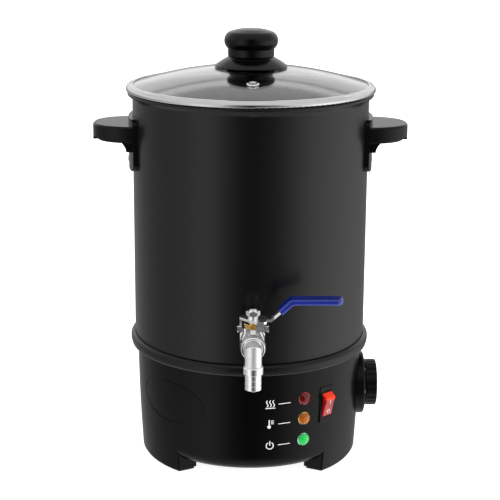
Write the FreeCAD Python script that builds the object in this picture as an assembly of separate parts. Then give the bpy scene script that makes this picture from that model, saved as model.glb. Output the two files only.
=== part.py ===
import FreeCAD, Part
import math
import os
from FreeCAD import Vector as V

# ---------------------------------------------------------------------------
# Candle wax melter: an electric melting pot on a heated base, with a draining
# ball valve, a glass lid and a control panel.  Millimetres, +Z up, front -Y.
# Everything is drawn about the pot's vertical axis, then moved back by AXIS_Y
# so that the origin is the bottom centre of the whole object.
# ---------------------------------------------------------------------------

# driving dimensions
AXIS_Y = 24.2            # pot axis, behind the origin

# pot
POT_R = 120.0            # outside radius of the wall
POT_T = 1.2              # sheet thickness
POT_Z0 = 117.0           # underside of the pot floor
POT_CORNER = 9.5         # floor corner radius
POT_FLARE_Z = 371.5      # where the wall starts to flare
RIM_R = 125.0            # outermost radius of the rolled rim
RIM_BEAD = 2.4           # radius of the rolled bead
RIM_Z = 377.8            # centre height of the rolled bead

# base
BASE_R0 = 113.2          # wall radius at the floor
BASE_R1 = 114.7          # wall radius above the bottom rounding
BASE_R2 = 116.35         # at mid height
BASE_R3 = 117.2          # at the top
BASE_TOP = 117.0
BASE_WALL = 2.6
SKIRT_Z = 11.0           # lowest point of the shell between the feet
SKIRT_R = 98.6
FOOT_AZ = (-62.5, 62.5, 180.0)
FOOT_HALF_W = 43.0       # half width of a foot across its centre line
FOOT_RIN = 95.0
PAD_T = 2.4              # rubber pad thickness

# bead ring between base and pot
BEAD_R = 124.5
BEAD_TOP = 127.6

# tap
TAP_Z = 155.5            # axis of the valve
STEM_T = 145.0           # distance of the stem from the pot axis
SPOUT_T = 165.0          # distance of the spout from the pot axis
SPOUT_R = 8.0
SPOUT_TOP = 163.4        # top of the spout's head
SPOUT_BORE = 5.5
BARB_R = 8.2             # lands of the hose tail
BARB_Z0 = 118.9
BARB_PITCH = 5.27
COLLAR_Z0, COLLAR_Z1 = 134.7, 142.1
TAP_BORE = 5.0

# controls
LAMP_AZ = 27.1
LAMP_Z = {"red": 86.2, "amber": 65.0, "green": 42.3}
LAMP_R = 6.6
SW_AZ = 40.6
SW_Z = 75.2
SW_W, SW_H = 18.4, 38.0
ROCKER_W, ROCKER_H = 11.4, 26.0
THERMO_Z = 66.0
THERMO_R = 33.0
THERMO_X = 121.7         # face of the escutcheon
DIAL_R = 24.5
DIAL_X1 = 135.3

# lid
LID_APEX = 404.6
LID_SAG = 1.0 / 775.0    # dome: z = apex - r^2 * LID_SAG
GLASS_R = 121.3
GLASS_T = 4.0
LID_RING_R = 126.4
LID_RING_Z0 = 380.6
VENT_R = 80.0            # distance of the vent from the axis

# handles
GRIP_X = 160.3
GRIP_Z0, GRIP_Z1 = 330.6, 347.5
PLATE_Z0, PLATE_Z1 = 302.0, 354.6

OUT = "parts"
os.makedirs(OUT, exist_ok=True)
NODES = {}


# --- helpers ---------------------------------------------------------------
def wire_rz(start, segs):
    """Closed wire in the XZ half-plane; a pair is a line end, four numbers an arc (mid, end)."""
    edges = []
    p = V(start[0], 0, start[1])
    first = p
    for s in segs:
        if len(s) == 2:
            q = V(s[0], 0, s[1])
            edges.append(Part.LineSegment(p, q).toShape())
        else:
            q = V(s[2], 0, s[3])
            edges.append(Part.Arc(p, V(s[0], 0, s[1]), q).toShape())
        p = q
    if p.distanceToPoint(first) > 1e-6:
        edges.append(Part.LineSegment(p, first).toShape())
    return Part.Wire(edges)


def rev(start, segs, deg=360.0):
    return Part.Face(wire_rz(start, segs)).revolve(V(0, 0, 0), V(0, 0, 1), deg)


def cyl(r, h, p=(0, 0, 0), d=(0, 0, 1)):
    return Part.makeCylinder(r, h, V(*p), V(*d))


def box(x0, x1, y0, y1, z0, z1):
    return Part.makeBox(x1 - x0, y1 - y0, z1 - z0, V(x0, y0, z0))


def ring(ro, ri, z0, z1):
    return cyl(ro, z1 - z0, (0, 0, z0)).cut(cyl(ri, z1 - z0 + 2, (0, 0, z0 - 1)))


def hexagon(af, h, z0, turn=0.0):
    """Hexagonal prism about Z."""
    r = af / math.sqrt(3.0)
    pts = [V(r * math.cos(math.radians(60 * i + turn)), r * math.sin(math.radians(60 * i + turn)), z0) for i in range(7)]
    return Part.Face(Part.makePolygon(pts)).extrude(V(0, 0, h))


def chamfered_hex(af, h, z0, turn=0.0, c=0.9):
    s = hexagon(af, h, z0, turn)
    r = af / math.sqrt(3.0)
    lim = rev((0, z0), [(r - c, z0), (r, z0 + c), (r, z0 + h - c), (r - c, z0 + h), (0, z0 + h)])
    return s.common(lim)


def outward(s, z=0.0):
    """From +Z to pointing out of the front (-Y), at height z."""
    s = s.copy()
    s.rotate(V(0, 0, 0), V(1, 0, 0), 90)
    s.translate(V(0, 0, z))
    return s


def at_az(s, az):
    """From the front round to azimuth az (positive to the right)."""
    s = s.copy()
    s.rotate(V(0, 0, 0), V(0, 0, 1), az)
    return s


def moved(s, x=0.0, y=0.0, z=0.0):
    s = s.copy()
    s.translate(V(x, y, z))
    return s


def rounded_box(x0, x1, y0, y1, z0, z1, r, axis="z"):
    """Box with its four edges along one axis rounded."""
    b = box(x0, x1, y0, y1, z0, z1)
    d = {"x": V(1, 0, 0), "y": V(0, 1, 0), "z": V(0, 0, 1)}[axis]
    es = []
    for e in b.Edges:
        t = e.Vertexes[1].Point.sub(e.Vertexes[0].Point)
        if abs(t.normalize().dot(d)) > 0.99:
            es.append(e)
    return b.makeFillet(r, es)


def try_fillet(s, r, pick):
    """Fillet the edges that pick() chooses; a radius that fails is tried smaller."""
    es = [e for e in s.Edges if pick(e)]
    for k in (1.0, 0.8, 0.6, 0.4):
        try:
            f = s.makeFillet(r * k, es)
            if f.isValid() and f.Volume > 0:
                return f
        except Exception:
            pass
    print("fillet left out", r, len(es))
    return s


def mid(e):
    return e.valueAt(0.5 * (e.FirstParameter + e.LastParameter))


def tube(points, r, bend, closed=False):
    """Round rod along straight runs joined by tangent arcs of radius bend."""
    P = [V(*p) for p in points]
    edges = []
    last = P[0]
    for i in range(1, len(P) - 1):
        a = P[i - 1].sub(P[i])
        b = P[i + 1].sub(P[i])
        la, lb = a.Length, b.Length
        a.normalize()
        b.normalize()
        ang = a.getAngle(b)
        cut = min(bend / math.tan(ang / 2.0), 0.45 * la, 0.45 * lb)
        p0 = P[i].add(V(a).multiply(cut))
        p1 = P[i].add(V(b).multiply(cut))
        rad = cut * math.tan(ang / 2.0)
        bis = V(a).add(b)
        bis.normalize()
        c = P[i].add(V(bis).multiply(rad / math.sin(ang / 2.0)))
        m = c.sub(V(bis).multiply(rad))
        edges.append(Part.LineSegment(last, p0).toShape())
        edges.append(Part.Arc(p0, m, p1).toShape())
        last = p1
    edges.append(Part.LineSegment(last, P[-1]).toShape())
    w = Part.Wire(edges)
    t = P[1].sub(P[0])
    c = Part.Wire([Part.Circle(P[0], t, r).toShape()])
    s = w.makePipeShell([c], True, False)
    if s.Volume < 0:
        s.reverse()
    return s


def save(name, shapes):
    """Clean, move into the object's frame and keep."""
    if not isinstance(shapes, (list, tuple)):
        shapes = [shapes]
    solids = []
    for s in shapes:
        s = s.copy()
        s.translate(V(0, AXIS_Y, 0))
        for q in s.Solids:
            if q.Volume > 0.01:
                solids.append(q)
    NODES[name] = solids
    out = solids[0] if len(solids) == 1 else Part.makeCompound(solids)
    bad = [q for q in solids if not q.isValid()]
    bb = out.BoundBox
    print("%-24s solids %2d vol %10.1f  x %.1f..%.1f y %.1f..%.1f z %.1f..%.1f%s" % (
        name, len(solids), sum(q.Volume for q in solids), bb.XMin, bb.XMax, bb.YMin, bb.YMax, bb.ZMin, bb.ZMax,
        "  INVALID" if bad else ""))
    out.exportStep(os.path.join(OUT, name + ".step"))


# --- base housing ----------------------------------------------------------
def base_outer_r(z):
    """Wall radius at height z."""
    if z < 27.0:
        return BASE_R0 + (BASE_R1 - BASE_R0) * z / 27.0
    if z < 66.0:
        return BASE_R1 + (BASE_R2 - BASE_R1) * (z - 27.0) / 39.0
    return BASE_R2 + (BASE_R3 - BASE_R2) * min(1.0, (z - 66.0) / 48.0)


outer = rev((0, SKIRT_Z), [
    (SKIRT_R, SKIRT_Z),
    (110.05, 15.7, BASE_R1, 27.0),
    (BASE_R2, 66.0, BASE_R3, 114.0),
    (BASE_R3, BASE_TOP),
    (0, BASE_TOP)])

# feet: blocks that carry the wall's line down to the floor, sides parallel to each foot's centre line
foot_ring = rev((FOOT_RIN, PAD_T), [(BASE_R0 + 0.13, PAD_T), (BASE_R1, 27.0), (BASE_R1 - 6.0, 27.0), (FOOT_RIN, 20.0)])
feet = []
for az in FOOT_AZ:
    f = foot_ring.common(box(-FOOT_HALF_W, FOOT_HALF_W, -130, -60, 0, 40))
    f = try_fillet(f, 2.0, lambda e: abs(mid(e).y) > 100 and abs(abs(mid(e).x) - FOOT_HALF_W) < 0.2)
    feet.append(at_az(f, az))
shell = outer.fuse(feet)

# hollow, with a top ledge that carries the pot and a bottom flange that carries the cover
cavity = rev((0, 16.0), [
    (100.6, 16.0),
    (108.6, 18.9, BASE_R1 - BASE_WALL, 28.6),
    (BASE_R2 - BASE_WALL, 66.0, BASE_R3 - BASE_WALL, 112.0),
    (BASE_R3 - BASE_WALL, 113.4),
    (0, 113.4)])
shell = shell.cut(cavity)
shell = shell.cut(cyl(103.0, 10, (0, 0, 112)))           # opening in the top ledge
shell = shell.cut(cyl(86.0, 12, (0, 0, 8)))               # opening in the bottom flange
shell = shell.cut(cyl(93.9, 2.4, (0, 0, SKIRT_Z)))        # rebate for the bottom cover

# screw bosses on the bottom flange, and pillars for the pot bracket
BOSS_AZ = (0.0, 120.0, 240.0)
bosses = []
for az in BOSS_AZ:
    bosses.append(at_az(cyl(5.0, 14.0, (0, -89.0, 13.4)).cut(cyl(1.5, 20, (0, -89.0, 10))), az))
PILLAR_AZ = (-45.0, 75.0, 195.0)
pillars = []
for az in PILLAR_AZ:
    p = cyl(5.5, 71.8, (0, -99.0, 14.2)).fuse(box(-1.5, 1.5, -113.4, -99.0, 16.5, 50.0)).cut(cyl(1.8, 30, (0, -99.0, 60.0)))
    pillars.append(at_az(p, az))
shell = shell.fuse(bosses + [p.common(outer) for p in pillars])
for az in BOSS_AZ:
    shell = shell.cut(at_az(cyl(1.5, 16, (0, -89.0, 10)), az))

# spot-faced lamp holes
for z in LAMP_Z.values():
    r = base_outer_r(z)
    h = outward(cyl(5.1, 20, (0, 0, r - 10)).fuse(cyl(LAMP_R + 0.15, 10, (0, 0, r - 0.25))), z)
    shell = shell.cut(at_az(h, LAMP_AZ))
# switch opening and its flat seat
rs = base_outer_r(SW_Z)
SW_SEAT = rs - 1.2
sw_cut = box(-SW_W / 2 - 0.15, SW_W / 2 + 0.15, -rs - 10, -SW_SEAT, SW_Z - SW_H / 2 - 0.15, SW_Z + SW_H / 2 + 0.15)
sw_hole = box(-SW_W / 2 + 1.4, SW_W / 2 - 1.4, -rs - 10, -rs + 12, SW_Z - SW_H / 2 + 2.4, SW_Z + SW_H / 2 - 2.4)
shell = shell.cut(at_az(sw_cut.fuse(sw_hole), SW_AZ))
# thermostat opening
shell = shell.cut(at_az(outward(cyl(20.0, 30, (0, 0, 100)), THERMO_Z), 90))
for s in (-1, 1):
    shell = shell.cut(at_az(outward(cyl(1.7, 30, (s * 26.0, 0, 100)), THERMO_Z), 90))
# appliance inlet opening at the back
INLET_Z = 46.0
shell = shell.cut(at_az(box(-14.1, 14.1, -125, -100, INLET_Z - 10.1, INLET_Z + 10.1), 180))
for s in (-1, 1):
    shell = shell.cut(at_az(outward(cyl(1.6, 30, (s * 20.0, 0, 100)), INLET_Z), 180))
# louvres low in the back wall
for i in range(-3, 4):
    if abs(i) < 1:
        continue
    sl = rounded_box(-1.6, 1.6, -125, -100, 72.0, 98.0, 1.5, "y")
    shell = shell.cut(at_az(sl, 180 + i * 7.0))
# shallow oval line moulded into the wall, left of the front
def oval(a, b):
    e = Part.Ellipse(V(0, 0, 100.0), a, b)
    return Part.Face(Part.Wire([e.toShape()])).extrude(V(0, 0, 30.0))
groove = at_az(outward(oval(43.8, 22.0).cut(oval(42.7, 20.9)), 76.0), -45.6)
groove = groove.cut(rev((0, 20), [(BASE_R1 - 0.45, 20.0), (BASE_R1 - 0.45, 27.0), (BASE_R2 - 0.45, 66.0, BASE_R3 - 0.45, 114.0), (0, 114.0)]))
shell = shell.cut(groove)
shell = shell.removeSplitter()
save("base_housing", shell)

# --- bottom cover, its screws and the foot pads ------------------------------
cover = cyl(93.6, 2.0, (0, 0, SKIRT_Z + 0.2))
for az in BOSS_AZ:
    cover = cover.cut(at_az(cyl(1.9, 6, (0, -89.0, 9)), az))
for ring_r, n in ((30.0, 8), (45.0, 12), (60.0, 16)):
    for i in range(n):
        sl = rounded_box(-1.8, 1.8, -ring_r - 5.0, -ring_r + 5.0, 9, 15, 1.7, "z")
        cover = cover.cut(at_az(sl, i * 360.0 / n))
save("bottom_cover", cover)
bs = []
for az in BOSS_AZ:
    s = rev((0, 8.9), [(2.2, 8.9), (3.3, 10.0), (3.4, 11.1), (1.45, 11.1), (1.45, 23.0), (0, 24.0)])
    s = s.cut(box(-2.0, 2.0, -0.35, 0.35, 8.0, 9.7)).cut(box(-0.35, 0.35, -2.0, 2.0, 8.0, 9.7))
    bs.append(at_az(moved(s, 0, -89.0, 0), az))
save("bottom_cover_screws", bs)

pads = []
pad_ring = rev((FOOT_RIN + 1.3, 0.0), [(BASE_R0 - 1.5, 0.0), (BASE_R0 - 0.9, PAD_T), (FOOT_RIN + 1.3, PAD_T)])
for az in FOOT_AZ:
    pads.append(at_az(pad_ring.common(box(-FOOT_HALF_W + 1.3, FOOT_HALF_W - 1.3, -130, -60, -1, 10)), az))
save("foot_pads", pads)

# --- bead ring between base and pot ------------------------------------------
bead = rev((115.2, BASE_TOP), [
    (122.3, BASE_TOP),
    (123.5, 117.35, 124.0, 118.5),
    (124.45, 120.6, BEAD_R, 122.7),
    (123.6, 126.0, 120.35, BEAD_TOP),
    (120.3, 124.0),
    (117.4, 119.4)])
save("collar_ring", bead)

# --- pot ----------------------------------------------------------------------
ro, ri = POT_R, POT_R - POT_T
zc = POT_Z0 + POT_CORNER
c45 = math.sqrt(0.5)
bead_c = RIM_R - RIM_BEAD
pot = rev((0, POT_Z0), [
    (ro - POT_CORNER, POT_Z0),
    (ro - POT_CORNER + POT_CORNER * c45, zc - POT_CORNER * c45, ro, zc),
    (ro, POT_FLARE_Z),
    (ro + 0.55, POT_FLARE_Z + 2.2, ro + 1.7, RIM_Z - 2.18),
    (RIM_R, RIM_Z, bead_c, RIM_Z + RIM_BEAD),
    (bead_c - 2.1, RIM_Z + 1.15, bead_c - 2.4, RIM_Z - 0.6),
    (ri + 0.3, POT_FLARE_Z + 2.0, ri, POT_FLARE_Z - 1.0),
    (ri, zc),
    (ro - POT_CORNER + (POT_CORNER - POT_T) * c45, zc - (POT_CORNER - POT_T) * c45, ro - POT_CORNER, POT_Z0 + POT_T),
    (0, POT_Z0 + POT_T)])
pot = pot.cut(outward(cyl(10.3, 30, (0, 0, 105)), TAP_Z))
HS_Z = (309.5, 322.0)
for s in (-1, 1):
    for z in HS_Z:
        pot = pot.cut(at_az(outward(cyl(2.6, 30, (0, 0, 105)), z), 90 * s))
save("pot", pot)

# --- heating stack --------------------------------------------------------------
plate = cyl(98.0, 5.0, (0, 0, POT_Z0 - 5.0))
plate = plate.cut(rev((62.0, 108.0), [(69.0, 108.0), (69.0, 112.0), (67.9, 114.7, 65.5, 115.4), (63.1, 114.7, 62.0, 112.0)], 360))
plate = plate.cut(cyl(10.0, 20, (0, 0, 100)))
save("heater_plate", plate)

el = Part.makeTorus(65.5, 3.2, V(0, 0, 111.95), V(0, 0, 1), -180, 180, 330)
el.rotate(V(0, 0, 0), V(0, 0, 1), -90 + 15)
def leg(az):
    return at_az(cyl(3.2, 20.0, (0, -65.5, 91.95)).fuse(Part.makeSphere(3.2, V(0, -65.5, 111.95))).fuse(cyl(1.3, 9.0, (0, -65.5, 83.0))), az)
el = el.fuse([leg(-15.0), leg(15.0)])
save("heating_element", el)

strap = ring(74.0, 57.0, 107.0, 108.6)
for az in PILLAR_AZ:
    arm = box(-7.0, 7.0, -104.0, -73.0, 107.0, 108.6)
    strap = strap.fuse(at_az(arm, az))
strap = strap.cut(at_az(box(-25, 25, -80, -50, 100, 112), 0))
for az in PILLAR_AZ:
    strap = strap.cut(at_az(cyl(2.2, 10, (0, -99.0, 104)), az))
save("heater_clamp", strap)

posts = []
for az in PILLAR_AZ:
    s = cyl(4.5, 20.8, (0, -99.0, 86.1)).cut(cyl(2.1, 30, (0, -99.0, 80)))
    posts.append(at_az(s, az))
save("bracket_spacers", posts)
bolts = []
for az in PILLAR_AZ:
    s = cyl(1.75, 34.0, (0, -99.0, 74.7)).fuse(chamfered_hex(7.0, 2.6, 108.7, 0, 0.4).translated(V(0, -99.0, 0)))
    bolts.append(at_az(s, az))
save("bracket_bolts", bolts)

shield = rev((0, 94.0), [(86.0, 94.0), (90.0, 98.0), (90.0, 103.5), (89.2, 103.5), (89.2, 98.4), (85.6, 94.8), (0, 94.8)])
shield = shield.cut(at_az(box(-24, 24, -80, -52, 80, 100), 0))
shield = shield.cut(cyl(5.0, 30, (44.0, 26.0, 80))).cut(cyl(6.0, 30, (0, 0, 80)))
save("heat_shield", shield)

# over-temperature cut-out, pressed on the plate's underside
cut = cyl(8.0, 6.0, (0, -36.0, 105.8)).fuse(cyl(6.2, 4.0, (0, -36.0, 101.8)))
for s in (-1, 1):
    cut = cut.fuse(box(s * 8.0 - 3.0 if s > 0 else -11.0, 11.0 if s > 0 else -5.0, -38.0, -34.0, 103.0, 103.8))
save("thermal_cutoff", at_az(cut, -60))

# --- thermostat ---------------------------------------------------------------
tb = outward(cyl(18.0, 18.8, (0, 0, 89.0)).fuse(box(-20, 20, -14, 14, 84.0, 98.0)).fuse(cyl(6.5, 9.0, (0, 0, 107.5))), THERMO_Z)
tb = tb.cut(outward(cyl(3.08, 40, (0, 0, 96.0)), THERMO_Z))
for i in (-1, 1):
    tb = tb.fuse(outward(box(i * 12 - 3.0, i * 12 + 3.0, -0.4, 0.4, 76.0, 84.0), THERMO_Z))
save("thermostat_body", at_az(tb, 90))

esc = outward(cyl(THERMO_R, THERMO_X - 108.0, (0, 0, 108.0)), THERMO_Z)
esc = try_fillet(esc, 2.2, lambda e: abs(mid(e).y + THERMO_X) < 0.01 and e.Length > 100)
esc = at_az(esc, 90)
esc = esc.cut(at_az(outward(cyl(28.0, 9.4, (0, 0, 108.0)).cut(cyl(9.5, 9.4, (0, 0, 108.0))), THERMO_Z), 90))
esc = esc.cut(at_az(outward(cyl(6.7, 30, (0, 0, 108.0)), THERMO_Z), 90))
for s in (-1, 1):
    esc = esc.fuse(at_az(outward(cyl(3.6, 4.4, (s * 26.0, 0, 113.7)), THERMO_Z), 90))
    esc = esc.cut(at_az(outward(cyl(1.52, 5.0, (s * 26.0, 0, 112.0)), THERMO_Z), 90))
esc = esc.cut(rev((0, 20), [(BASE_R1 + 0.1, 20.0), (BASE_R1 + 0.1, 27.0), (BASE_R2 + 0.1, 66.0, BASE_R3 + 0.1, 114.0), (0, 114.0)]))
esc = max(esc.Solids, key=lambda q: q.Volume)
save("thermostat_escutcheon", esc)

# two screws from inside hold the thermostat to the escutcheon
ts = []
for s in (-1, 1):
    q = rev((0, 105.8), [(2.6, 105.8), (2.8, 106.4), (2.8, 107.85), (1.5, 107.85), (1.5, 116.6), (0, 116.6)])
    ts.append(at_az(outward(moved(q, s * 26.0, 0, 0), THERMO_Z), 90))
tbr = box(-31.0, 31.0, -7.0, 7.0, 107.9, 109.2).cut(cyl(6.8, 12, (0, 0, 100)))
tbr = tbr.cut(cyl(1.7, 12, (26, 0, 100))).cut(cyl(1.7, 12, (-26, 0, 100)))
tbr = at_az(outward(tbr, THERMO_Z), 90)
save("thermostat_screws", ts)

# dial: knurled knob on the thermostat's shaft
dial = outward(cyl(DIAL_R, DIAL_X1 - THERMO_X - 0.5, (0, 0, THERMO_X + 0.5)), THERMO_Z)
dial = try_fillet(dial, 1.6, lambda e: e.Length > 100)
for i in range(24):
    a = math.radians(15.0 * i + 7.5)
    g = outward(cyl(1.5, 20, (math.cos(a) * (DIAL_R + 0.7), math.sin(a) * (DIAL_R + 0.7), THERMO_X + 3.2)), THERMO_Z)
    dial = dial.cut(g)
bar = outward(rounded_box(-4.2, 4.2, -20.5, 21.5, DIAL_X1 - 3.0, DIAL_X1, 1.5, "z"), THERMO_Z)
rec = outward(cyl(22.0, 3.0, (0, 0, DIAL_X1 - 2.2)), THERMO_Z)
dial = dial.cut(rec).fuse(bar.common(outward(cyl(22.6, 10, (0, 0, DIAL_X1 - 5)), THERMO_Z)))
dial = dial.cut(outward(cyl(3.05, 9.0, (0, 0, THERMO_X)), THERMO_Z))
dial = dial.cut(outward(cyl(18.0, 2.4, (0, 0, THERMO_X)).cut(cyl(6.5, 2.4, (0, 0, THERMO_X))), THERMO_Z))
save("thermostat_dial", at_az(dial, 90))
shaft = outward(cyl(3.0, 31.0, (0, 0, 97.0)), THERMO_Z)
save("thermostat_shaft", at_az(shaft, 90))

# sensing bulb on the plate and its capillary
bulb = cyl(3.0, 50.0, (-25.0, 30.0, 108.6), (1, 0, 0))
cap = tube([(24.5, 30.0, 108.6), (36.0, 29.0, 107.6), (44.0, 26.0, 102.0), (44.0, 26.0, 90.0), (52.0, 22.0, 86.0), (74.0, 10.0, 88.5), (86.0, 4.5, 88.5), (86.5, 4.0, 80.2)], 0.9, 4.0)
save("thermostat_sensor", bulb.fuse(cap))
clip = box(-5.0, 5.0, 25.8, 34.2, 104.4, 112.0).cut(box(-6, 6, 26.6, 33.4, 105.2, 113.0)).fuse(box(-5.0, 5.0, 33.4, 44.0, 111.2, 112.0)).fuse(box(-5.0, 5.0, 16.0, 26.6, 111.2, 112.0))
save("sensor_clip", clip)

# --- indicator lamps -----------------------------------------------------------
nuts = []
for name, z in LAMP_Z.items():
    r = base_outer_r(z)
    lens = rev((0, r - 12.0), [
        (3.4, r - 12.0), (3.4, r - 9.0), (4.95, r - 9.0), (4.95, r - 0.2), (LAMP_R, r - 0.2), (LAMP_R, r + 0.7),
        (LAMP_R - 0.5, r + 1.2), (5.4, r + 1.2), (3.15, r + 3.04, 0.4, r + 3.79), (0, r + 3.79)])
    save("lamp_" + name, at_az(outward(lens, z), LAMP_AZ))
    n = chamfered_hex(13.0, 3.0, r - BASE_WALL - 3.4, 0, 0.5).cut(cyl(4.98, 20, (0, 0, r - 15)))
    nuts.append(at_az(outward(n, z), LAMP_AZ))
save("lamp_nuts", nuts)

# --- rocker switch --------------------------------------------------------------
FB = rs + 1.0            # front face of the switch bezel
bez = rounded_box(-SW_W / 2, SW_W / 2, -FB, -SW_SEAT, SW_Z - SW_H / 2, SW_Z + SW_H / 2, 2.0, "y")
bez = try_fillet(bez, 0.8, lambda e: abs(mid(e).y + FB) < 0.01)
bodyb = box(-SW_W / 2 + 1.6, SW_W / 2 - 1.6, -SW_SEAT, -SW_SEAT + 21.0, SW_Z - SW_H / 2 + 2.6, SW_Z + SW_H / 2 - 2.6)
sw = bez.fuse(bodyb)
well = box(-ROCKER_W / 2 - 0.35, ROCKER_W / 2 + 0.35, -FB - 1, -FB + 11.5, SW_Z - ROCKER_H / 2 - 0.5, SW_Z + ROCKER_H / 2 + 0.5)
sw = sw.cut(well)
PIV = FB - 3.0           # rocker pivot, distance from the pot axis
pin_hole = cyl(1.56, 14.2, (-7.1, -PIV, SW_Z), (1, 0, 0))
sw = sw.cut(pin_hole)
save("switch_housing", at_az(sw, SW_AZ))
term = []
for i in (-1, 0, 1):
    term.append(at_az(box(-3.1, 3.1, -SW_SEAT + 21.0, -SW_SEAT + 29.0, SW_Z + i * 10 - 0.4, SW_Z + i * 10 + 0.4), SW_AZ))
save("switch_terminals", term)

# rocker drawn level, as (out from the pivot, up from the pivot), then tipped so that its lower half is pressed in
tip = 15.0
prof = [(6.8, 0.0), (7.4, 10.6), (0.9, 13.0), (-1.5, 11.6), (-4.0, 5.0), (-4.0, -5.0), (-1.5, -11.6), (0.9, -13.0), (7.4, -10.6)]
rk = Part.Face(Part.makePolygon([V(0, -(PIV + a), SW_Z + b) for a, b in prof + prof[:1]])).extrude(V(ROCKER_W - 0.1, 0, 0))
rk = moved(rk, -(ROCKER_W - 0.1) / 2, 0, 0)
rk = try_fillet(rk, 0.9, lambda e: mid(e).y < -(PIV + 7.3) and abs(mid(e).x) < 1)
rk = try_fillet(rk, 0.5, lambda e: mid(e).y < -(PIV + 0.95) and abs(abs(mid(e).x) - (ROCKER_W - 0.1) / 2) < 0.01)
rk = rk.fuse(cyl(1.5, 14.0, (-7.0, -PIV, SW_Z), (1, 0, 0)))
rk.rotate(V(0, -PIV, SW_Z), V(1, 0, 0), tip)
save("switch_rocker", at_az(rk, SW_AZ))

# --- appliance inlet ------------------------------------------------------------
IN_R = base_outer_r(INLET_Z)
fl = rounded_box(-25.0, 25.0, -(IN_R + 2.6), -(IN_R - 1.9), INLET_Z - 12.5, INLET_Z + 12.5, 5.0, "y")
wallcut = rev((0, 20), [(BASE_R1 + 0.02, 20.0), (BASE_R1 + 0.02, 27.0), (BASE_R2 + 0.04, 66.0, BASE_R3 + 0.02, 114.0), (0, 114.0)])
fl = fl.cut(at_az(wallcut, 0))
fl = fl.fuse(box(-13.9, 13.9, -(IN_R + 1.0), -(IN_R - 18.0), INLET_Z - 9.9, INLET_Z + 9.9))
fl = fl.cut(rounded_box(-12.0, 12.0, -(IN_R + 6.0), -(IN_R - 14.5), INLET_Z - 8.0, INLET_Z + 8.0, 2.5, "y"))
for s in (-1, 1):
    fl = fl.cut(outward(cyl(1.7, 60, (s * 20.0, 0, 90)), INLET_Z))
fl = max(fl.Solids, key=lambda q: q.Volume)
for x, z in ((-7.0, 2.0), (0.0, -2.0), (7.0, 2.0)):
    fl = fl.cut(box(x - 1.0, x + 1.0, -(IN_R - 14.0), -(IN_R - 19.0), INLET_Z + z - 2.0, INLET_Z + z + 2.0))
save("power_inlet", at_az(fl, 180))
pins = []
for x, z in ((-7.0, 2.0), (0.0, -2.0), (7.0, 2.0)):
    b = box(x - 1.0, x + 1.0, -(IN_R - 1.5), -(IN_R - 25.0), INLET_Z + z - 2.0, INLET_Z + z + 2.0)
    b = try_fillet(b, 0.6, lambda e: abs(mid(e).y + (IN_R - 1.5)) < 0.01)
    pins.append(at_az(b, 180))
save("inlet_pins", pins)
iscr = []
for s in (-1, 1):
    q = rev((0, IN_R - 10.0), [(1.5, IN_R - 10.0), (1.5, IN_R + 2.7), (3.1, IN_R + 2.7), (2.9, IN_R + 3.7), (1.5, IN_R + 4.3), (0, IN_R + 4.4)])
    q = q.cut(box(-2.2, 2.2, -0.35, 0.35, IN_R + 3.3, IN_R + 6)).cut(box(-0.35, 0.35, -2.2, 2.2, IN_R + 3.3, IN_R + 6))
    iscr.append(at_az(outward(moved(q, s * 20.0, 0, 0), INLET_Z), 180))
save("inlet_screws", iscr)

# --- terminal block and internal wiring -------------------------------------------
tblk = box(-30.0, 30.0, 30.0, 48.0, 16.2, 30.0)
tblk = tblk.cut(box(-31, 31, 34.0, 44.0, 24.0, 31.0))
for i in range(4):
    x = -22.5 + 15.0 * i
    tblk = tblk.fuse(box(x + 6.5, x + 8.5, 34.0, 44.0, 23.9, 29.0)) if i < 3 else tblk
save("terminal_block", moved(tblk, 0, 0, -2.9))
tscr = []
for i in range(4):
    x = -22.5 + 15.0 * i
    for y in (36.2, 41.8):
        q = cyl(2.0, 2.4, (x, y, 21.2)).cut(box(x - 3, x + 3, y - 0.35, y + 0.35, 22.8, 24.0))
        tscr.append(q)
save("terminal_screws", tscr)

WR = 1.3
wires = [
    # inlet to terminal block
    tube([(-7.0, IN_R - 26.0, 48.0), (-7.5, 80.0, 46.0), (-13.0, 64.0, 32.0), (-22.5, 56.5, 22.6), (-22.5, 48.1, 22.6)], WR, 8.0),
    tube([(7.0, IN_R - 26.0, 48.0), (7.5, 82.0, 45.0), (9.5, 66.0, 30.0), (7.5, 56.5, 22.6), (7.5, 48.1, 22.6)], WR, 8.0),
    # terminal block to switch
    tube([(-22.5, 29.9, 22.6), (-22.5, 20.0, 22.6), (0.0, -30.0, 40.0), (38.0, -50.0, 56.0), (51.5, -63.5, 64.8)], WR, 9.0),
    tube([(22.5, 29.9, 22.6), (22.5, 20.0, 22.6), (30.0, -20.0, 48.0), (42.0, -46.0, 66.0), (53.5, -61.0, 75.2)], WR, 9.0),
    # terminal block to thermostat
    tube([(22.5, 48.1, 22.6), (22.5, 58.0, 22.6), (54.0, 44.0, 48.0), (66.0, 18.0, 62.0), (75.3, 12.0, 66.0)], WR, 9.0),
    # thermostat to heating element
    tube([(75.3, -12.0, 66.0), (64.0, -20.0, 70.0), (36.0, -50.0, 76.0), (20.0, -61.0, 77.5), (16.95, -63.27, 77.8), (16.95, -63.27, 82.9)], 1.1, 2.5),
]
save("wiring", wires)

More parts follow.
